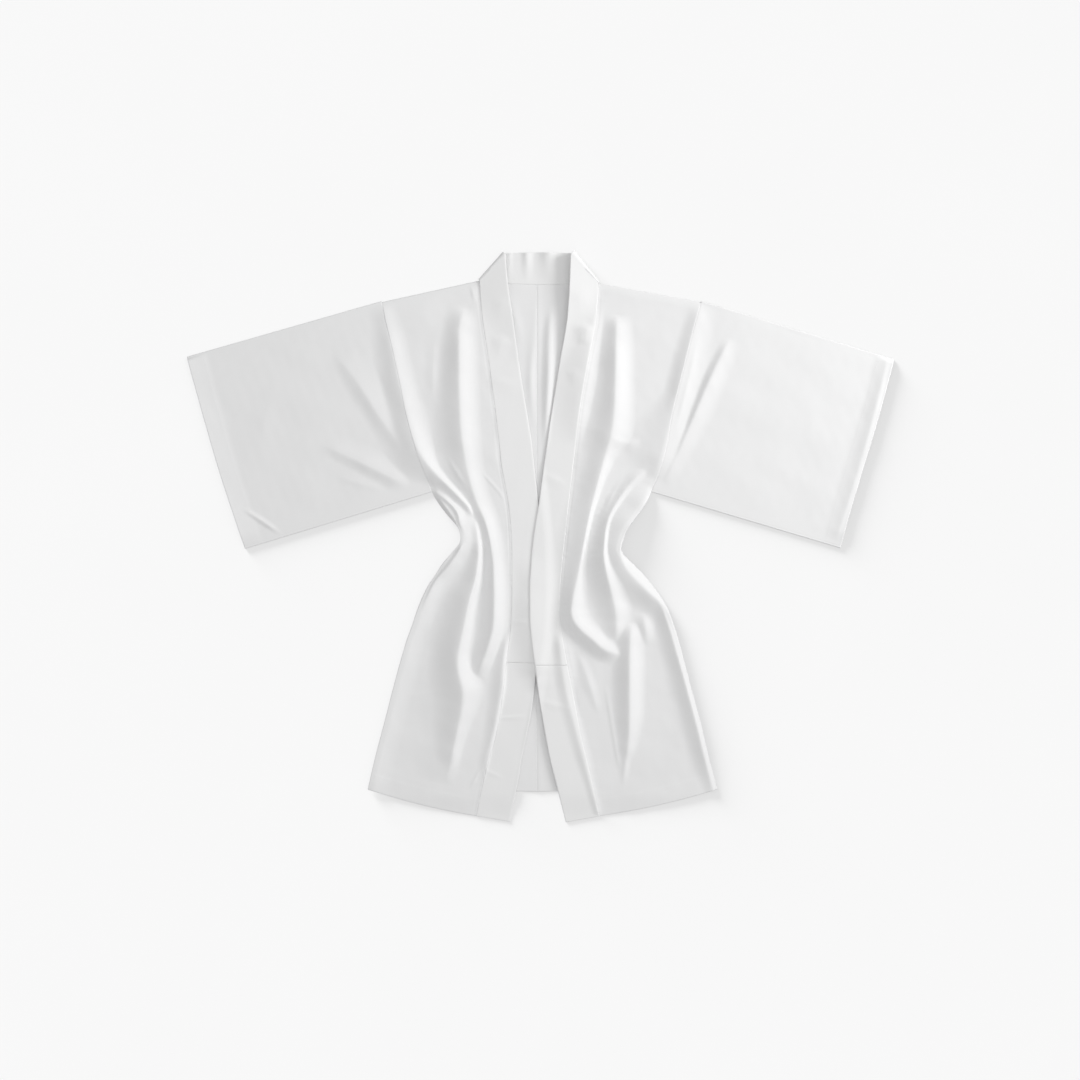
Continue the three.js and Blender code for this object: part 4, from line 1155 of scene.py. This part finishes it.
def stitch_tree():
    tree = bpy.data.node_groups.new("hem_stitches", "GeometryNodeTree")
    face = tree.interface
    face.new_socket("Geometry", in_out="INPUT", socket_type="NodeSocketGeometry")
    for name, value in STITCH.items():
        socket = face.new_socket(name, in_out="INPUT", socket_type="NodeSocketFloat")
        socket.default_value = value
    face.new_socket("Seed", in_out="INPUT", socket_type="NodeSocketInt").default_value = 1
    face.new_socket("Thread", in_out="INPUT", socket_type="NodeSocketMaterial")
    face.new_socket("Geometry", in_out="OUTPUT", socket_type="NodeSocketGeometry")

    def add(kind, inputs=None, **settings):
        """A node with its settings and the values or links of its sockets, as its outputs."""
        node = tree.nodes.new(kind)
        for key, value in settings.items():
            setattr(node, key, value)
        for key, value in (inputs or {}).items():
            if isinstance(value, bpy.types.NodeSocket):
                tree.links.new(value, node.inputs[key])
            else:
                node.inputs[key].default_value = value
        return node.outputs

    given = add("NodeGroupInput")
    path = {"Curve": given["Geometry"], "Length": given["Spacing"]}
    steps = add("GeometryNodeResampleCurve", path, mode="LENGTH")
    tangent = add("GeometryNodeInputTangent")
    turn = add("FunctionNodeAlignRotationToVector", {"Vector": tangent[0]}, axis="X")
    bead = add("GeometryNodeMeshUVSphere", BEAD)
    shares = {2: LENGTH_SHARES[0], 3: LENGTH_SHARES[1], "Seed": given["Seed"]}
    vary = add("FunctionNodeRandomValue", shares, data_type="FLOAT")
    half = add("ShaderNodeMath", {0: given["Half Length"], 1: vary[1]}, operation="MULTIPLY")
    radius = given["Thread Radius"]
    size = add("ShaderNodeCombineXYZ", {0: half[0], 1: radius, 2: radius})
    stitch = {"Points": steps[0], "Instance": bead["Mesh"], "Rotation": turn[0], "Scale": size[0]}
    real = add("GeometryNodeRealizeInstances", {0: add("GeometryNodeInstanceOnPoints", stitch)[0]})
    dressed = add("GeometryNodeSetMaterial", {"Geometry": real[0], "Material": given["Thread"]})
    add("NodeGroupOutput", {0: dressed[0]})
    return tree


STITCHES = stitch_tree()


def sew(name, path, seed):
    """Stitches along a path of points in millimetres, as one plain mesh."""
    curve = bpy.data.curves.new(name + "_path", "CURVE")
    curve.dimensions = "3D"
    spline = curve.splines.new("POLY")
    spline.points.add(len(path) - 1)
    spline.points.foreach_set("co", np.c_[np.array(path) * MM, np.ones(len(path))].ravel())
    line = bpy.data.objects.new(name + "_path", curve)
    scene.collection.objects.link(line)
    sewing = line.modifiers.new("stitches", "NODES")
    sewing.node_group = STITCHES
    values = {**STITCH, "Seed": seed, "Thread": thread}
    for item in STITCHES.interface.items_tree:
        if item.in_out == "INPUT" and item.name in values:
            sewing[item.identifier] = values[item.name]
    evaluated = line.evaluated_get(bpy.context.evaluated_depsgraph_get())
    mesh = bpy.data.meshes.new_from_object(evaluated)
    mesh.name = name
    bpy.data.objects.remove(line)
    stitches = bpy.data.objects.new(name, mesh)
    scene.collection.objects.link(stitches)
    print(f"{name}: {len(mesh.polygons)} faces")
    return stitches


# %% Sew the hems
HEM_SEED, CUFF_SEED = 40, 43
HEM_SPAN, CUFF_SPAN = (0.02, 0.98), (0.03, 0.97)  # the shares of a hem that are sewn
BELOW_HEM_EDGE = 2  # how far the stitches lie inside a hem's edge
PATH_POINTS, SKIP = 240, 6  # every sixth point is put on the cloth
STITCH_RISE = 0.08
RAY_HEIGHT = 0.2  # metres


def on_surface(piece, points):
    """The points, put on top of the piece that they lie over, a little way apart."""
    placed = []
    for x, y in points[::SKIP]:
        hit, where, _, _ = piece.ray_cast((x * MM, y * MM, RAY_HEIGHT), (0, 0, -1))
        if hit:
            placed.append((x, y, where.z / MM + STITCH_RISE))
    return placed


def front_hem_path(side):
    share = np.linspace(*HEM_SPAN, PATH_POINTS)
    rise = FRONT_HEM - BELOW_HEM_EDGE
    inner_y, outer_y = BAND_ENDS[side]["hem_seam"] + rise, SIDE_HEM_Y + rise
    x = mix(seam_x[side](inner_y), side_x[side](outer_y), share)
    return np.c_[x, mix(inner_y, outer_y, share) - hem_bow(share)]


def cuff_path(side):
    share = np.linspace(*CUFF_SPAN, PATH_POINTS)
    seam_y = mix(SHOULDER_Y, UNDERARM_Y, share)
    x, y = cuff_x[side](share), cuff_y[side](share)
    back = (CUFF_HEM - BELOW_HEM_EDGE) / np.hypot(x - side_x[side](seam_y), y - seam_y)
    return np.c_[mix(x, side_x[side](seam_y), back), mix(y, seam_y, back)]


stitches = {}
for side, way in OUTWARD.items():
    hem = on_surface(fronts[side], front_hem_path(side))
    cuff = on_surface(sleeves[side], cuff_path(side))
    stitches["front", side] = sew(f"hem_stitches_front_{side}", hem, HEM_SEED + way)
    stitches["sleeve", side] = sew(f"cuff_stitches_{side}", cuff, CUFF_SEED + way)

# %% [markdown]
# ## Floor and light
#
# White cloth on a white floor is drawn by its shadows alone. A large soft light stands low to
# the right and lights the kimono alone, so every fold has a bright right slope and a shaded left
# one. A second light, low on the left, lights the floor alone and lays the kimono's soft shadow
# to its lower right. Light linking keeps the two apart: each light has a collection of what it
# may light. An even light from all round, stronger from above, keeps the shaded slopes pale. The
# floor shines a little itself, as a lit white table does, so that it stays brighter than the
# cloth, and it is hidden from diffuse rays, so that its shine doesn't wash out the folds.

# %% Floor
FLOOR_DROP = 0.3
FLOOR_SIZE = 60  # metres, so that its far edge stays out of low views
FLOOR_GLOW = 0.55

half, drop = FLOOR_SIZE / 2, FLOOR_DROP * MM
corners = [(-half, -half, -drop), (half, -half, -drop), (half, half, -drop), (-half, half, -drop)]
floor_mesh = bpy.data.meshes.new("floor")
floor_mesh.from_pydata(corners, [], [(0, 1, 2, 3)])
floor = bpy.data.objects.new("floor", floor_mesh)
scene.collection.objects.link(floor)
paper, shader, nodes = new_material(
    "white_floor", {"Roughness": 0.9, "Specular IOR Level": 0.1, "Emission Strength": FLOOR_GLOW}
)
mottle = nodes.node("ShaderNodeTexCoord", output="Object").noise(3, 2)
connect(shader, {"Base Color": mottle.between((0.30, 0.30, 0.30), (0.31, 0.31, 0.31))})
shader.inputs["Emission Color"].default_value = (1, 1, 1, 1)
floor_mesh.materials.append(paper)
floor.visible_diffuse = False
print("floor, m:", FLOOR_SIZE)

# %% The room's light
HORIZON_LIGHT, ROOM_LIGHT = 0.38, 0.84

world = scene.world or bpy.data.worlds.new("soft_room")
scene.world = world
world.use_nodes = True
room = Shade(world.node_tree)
direction = room.node("ShaderNodeTexCoord", output="Generated")
upward = room.node("ShaderNodeSeparateXYZ", inputs={0: direction}, output=2)
limits = {"From Min": 0.0, "From Max": 1.0, "To Min": HORIZON_LIGHT, "To Max": ROOM_LIGHT}
background = world.node_tree.nodes["Background"]
background.inputs["Color"].default_value = (1, 1, 1, 1)
connect(background, {
    "Strength": room.node("ShaderNodeMapRange", inputs={"Value": upward, **limits})
})
print("room light:", HORIZON_LIGHT, "to", ROOM_LIGHT)


# %% The two lights
def add_light(name, kind, place, aim, power, lit):
    """A light that faces a point of the kimono and lights only the pieces it is given."""
    data = bpy.data.lights.new(name, kind)
    data.energy = power
    light = bpy.data.objects.new(name, data)
    light.location = place
    light.rotation_euler = (Vector(aim) - light.location).to_track_quat("-Z", "Y").to_euler()
    scene.collection.objects.link(light)
    group = bpy.data.collections.new(name + "_lights")
    for piece in lit:
        group.objects.link(piece)
    light.light_linking.receiver_collection = group
    return data


kimono = [o for o in scene.objects if o.name.startswith(("cloth_", "hem_", "cuff_"))]
window = add_light(
    "window_right", "AREA", place=(2.15, 0.95, 0.98), aim=(0.2, 0.32, 0), power=10.4, lit=kimono
)
window.size = 0.9
window.spread = math.radians(96)
lamp = add_light(
    "lamp_left", "SUN", place=(-1.6, 2.0, 0.29), aim=(0, 0, 0), power=15, lit=[floor]
)
lamp.angle = math.radians(26)
scene.view_settings.view_transform = "Standard"

# %% [markdown]
# ## The pieces on the body
#
# Every piece rides on the one body and stands for its node in the frame. A table gives the size
# it was cut to, and its cloth area is printed beside the cut area.

# %% The pieces on the body
LAID = {
    # piece: (flat width, flat length, flat area, slot, what it lies on)
    "back_right": (0.26, 0.82, 0.17, "cloth", ["floor"]),
    "back_left": (0.28, 0.82, 0.18, "cloth", ["floor"]),
    "front_right": (0.24, 0.87, 0.15, "cloth", ["back_right"]),
    "front_left": (0.24, 0.87, 0.15, "cloth", ["back_left"]),
    "sleeve_right": (0.66, 0.33, 0.19, "cloth", ["floor"]),
    "sleeve_left": (0.66, 0.33, 0.19, "cloth", ["floor"]),
    "collar": (0.05, 1.43, 0.071, "band", ["front_right", "front_left"]),
    "band_lower_right": (0.05, 0.26, 0.0125, "band", ["back_right"]),
    "band_lower_left": (0.05, 0.26, 0.0125, "band", ["back_left"]),
}
for node, (width, length, area, slot, under) in LAID.items():
    piece = bpy.data.objects["cloth_" + node]
    kind, _, side = node.partition("_")
    sewn = [stitches[kind, side]] if (kind, side) in stitches else []
    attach(piece, "root")
    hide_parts(node)
    for part in sewn:
        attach(part, "root")
    print(node, "cloth area m2:", round(sheet_area(piece), 4), "cut:", area)
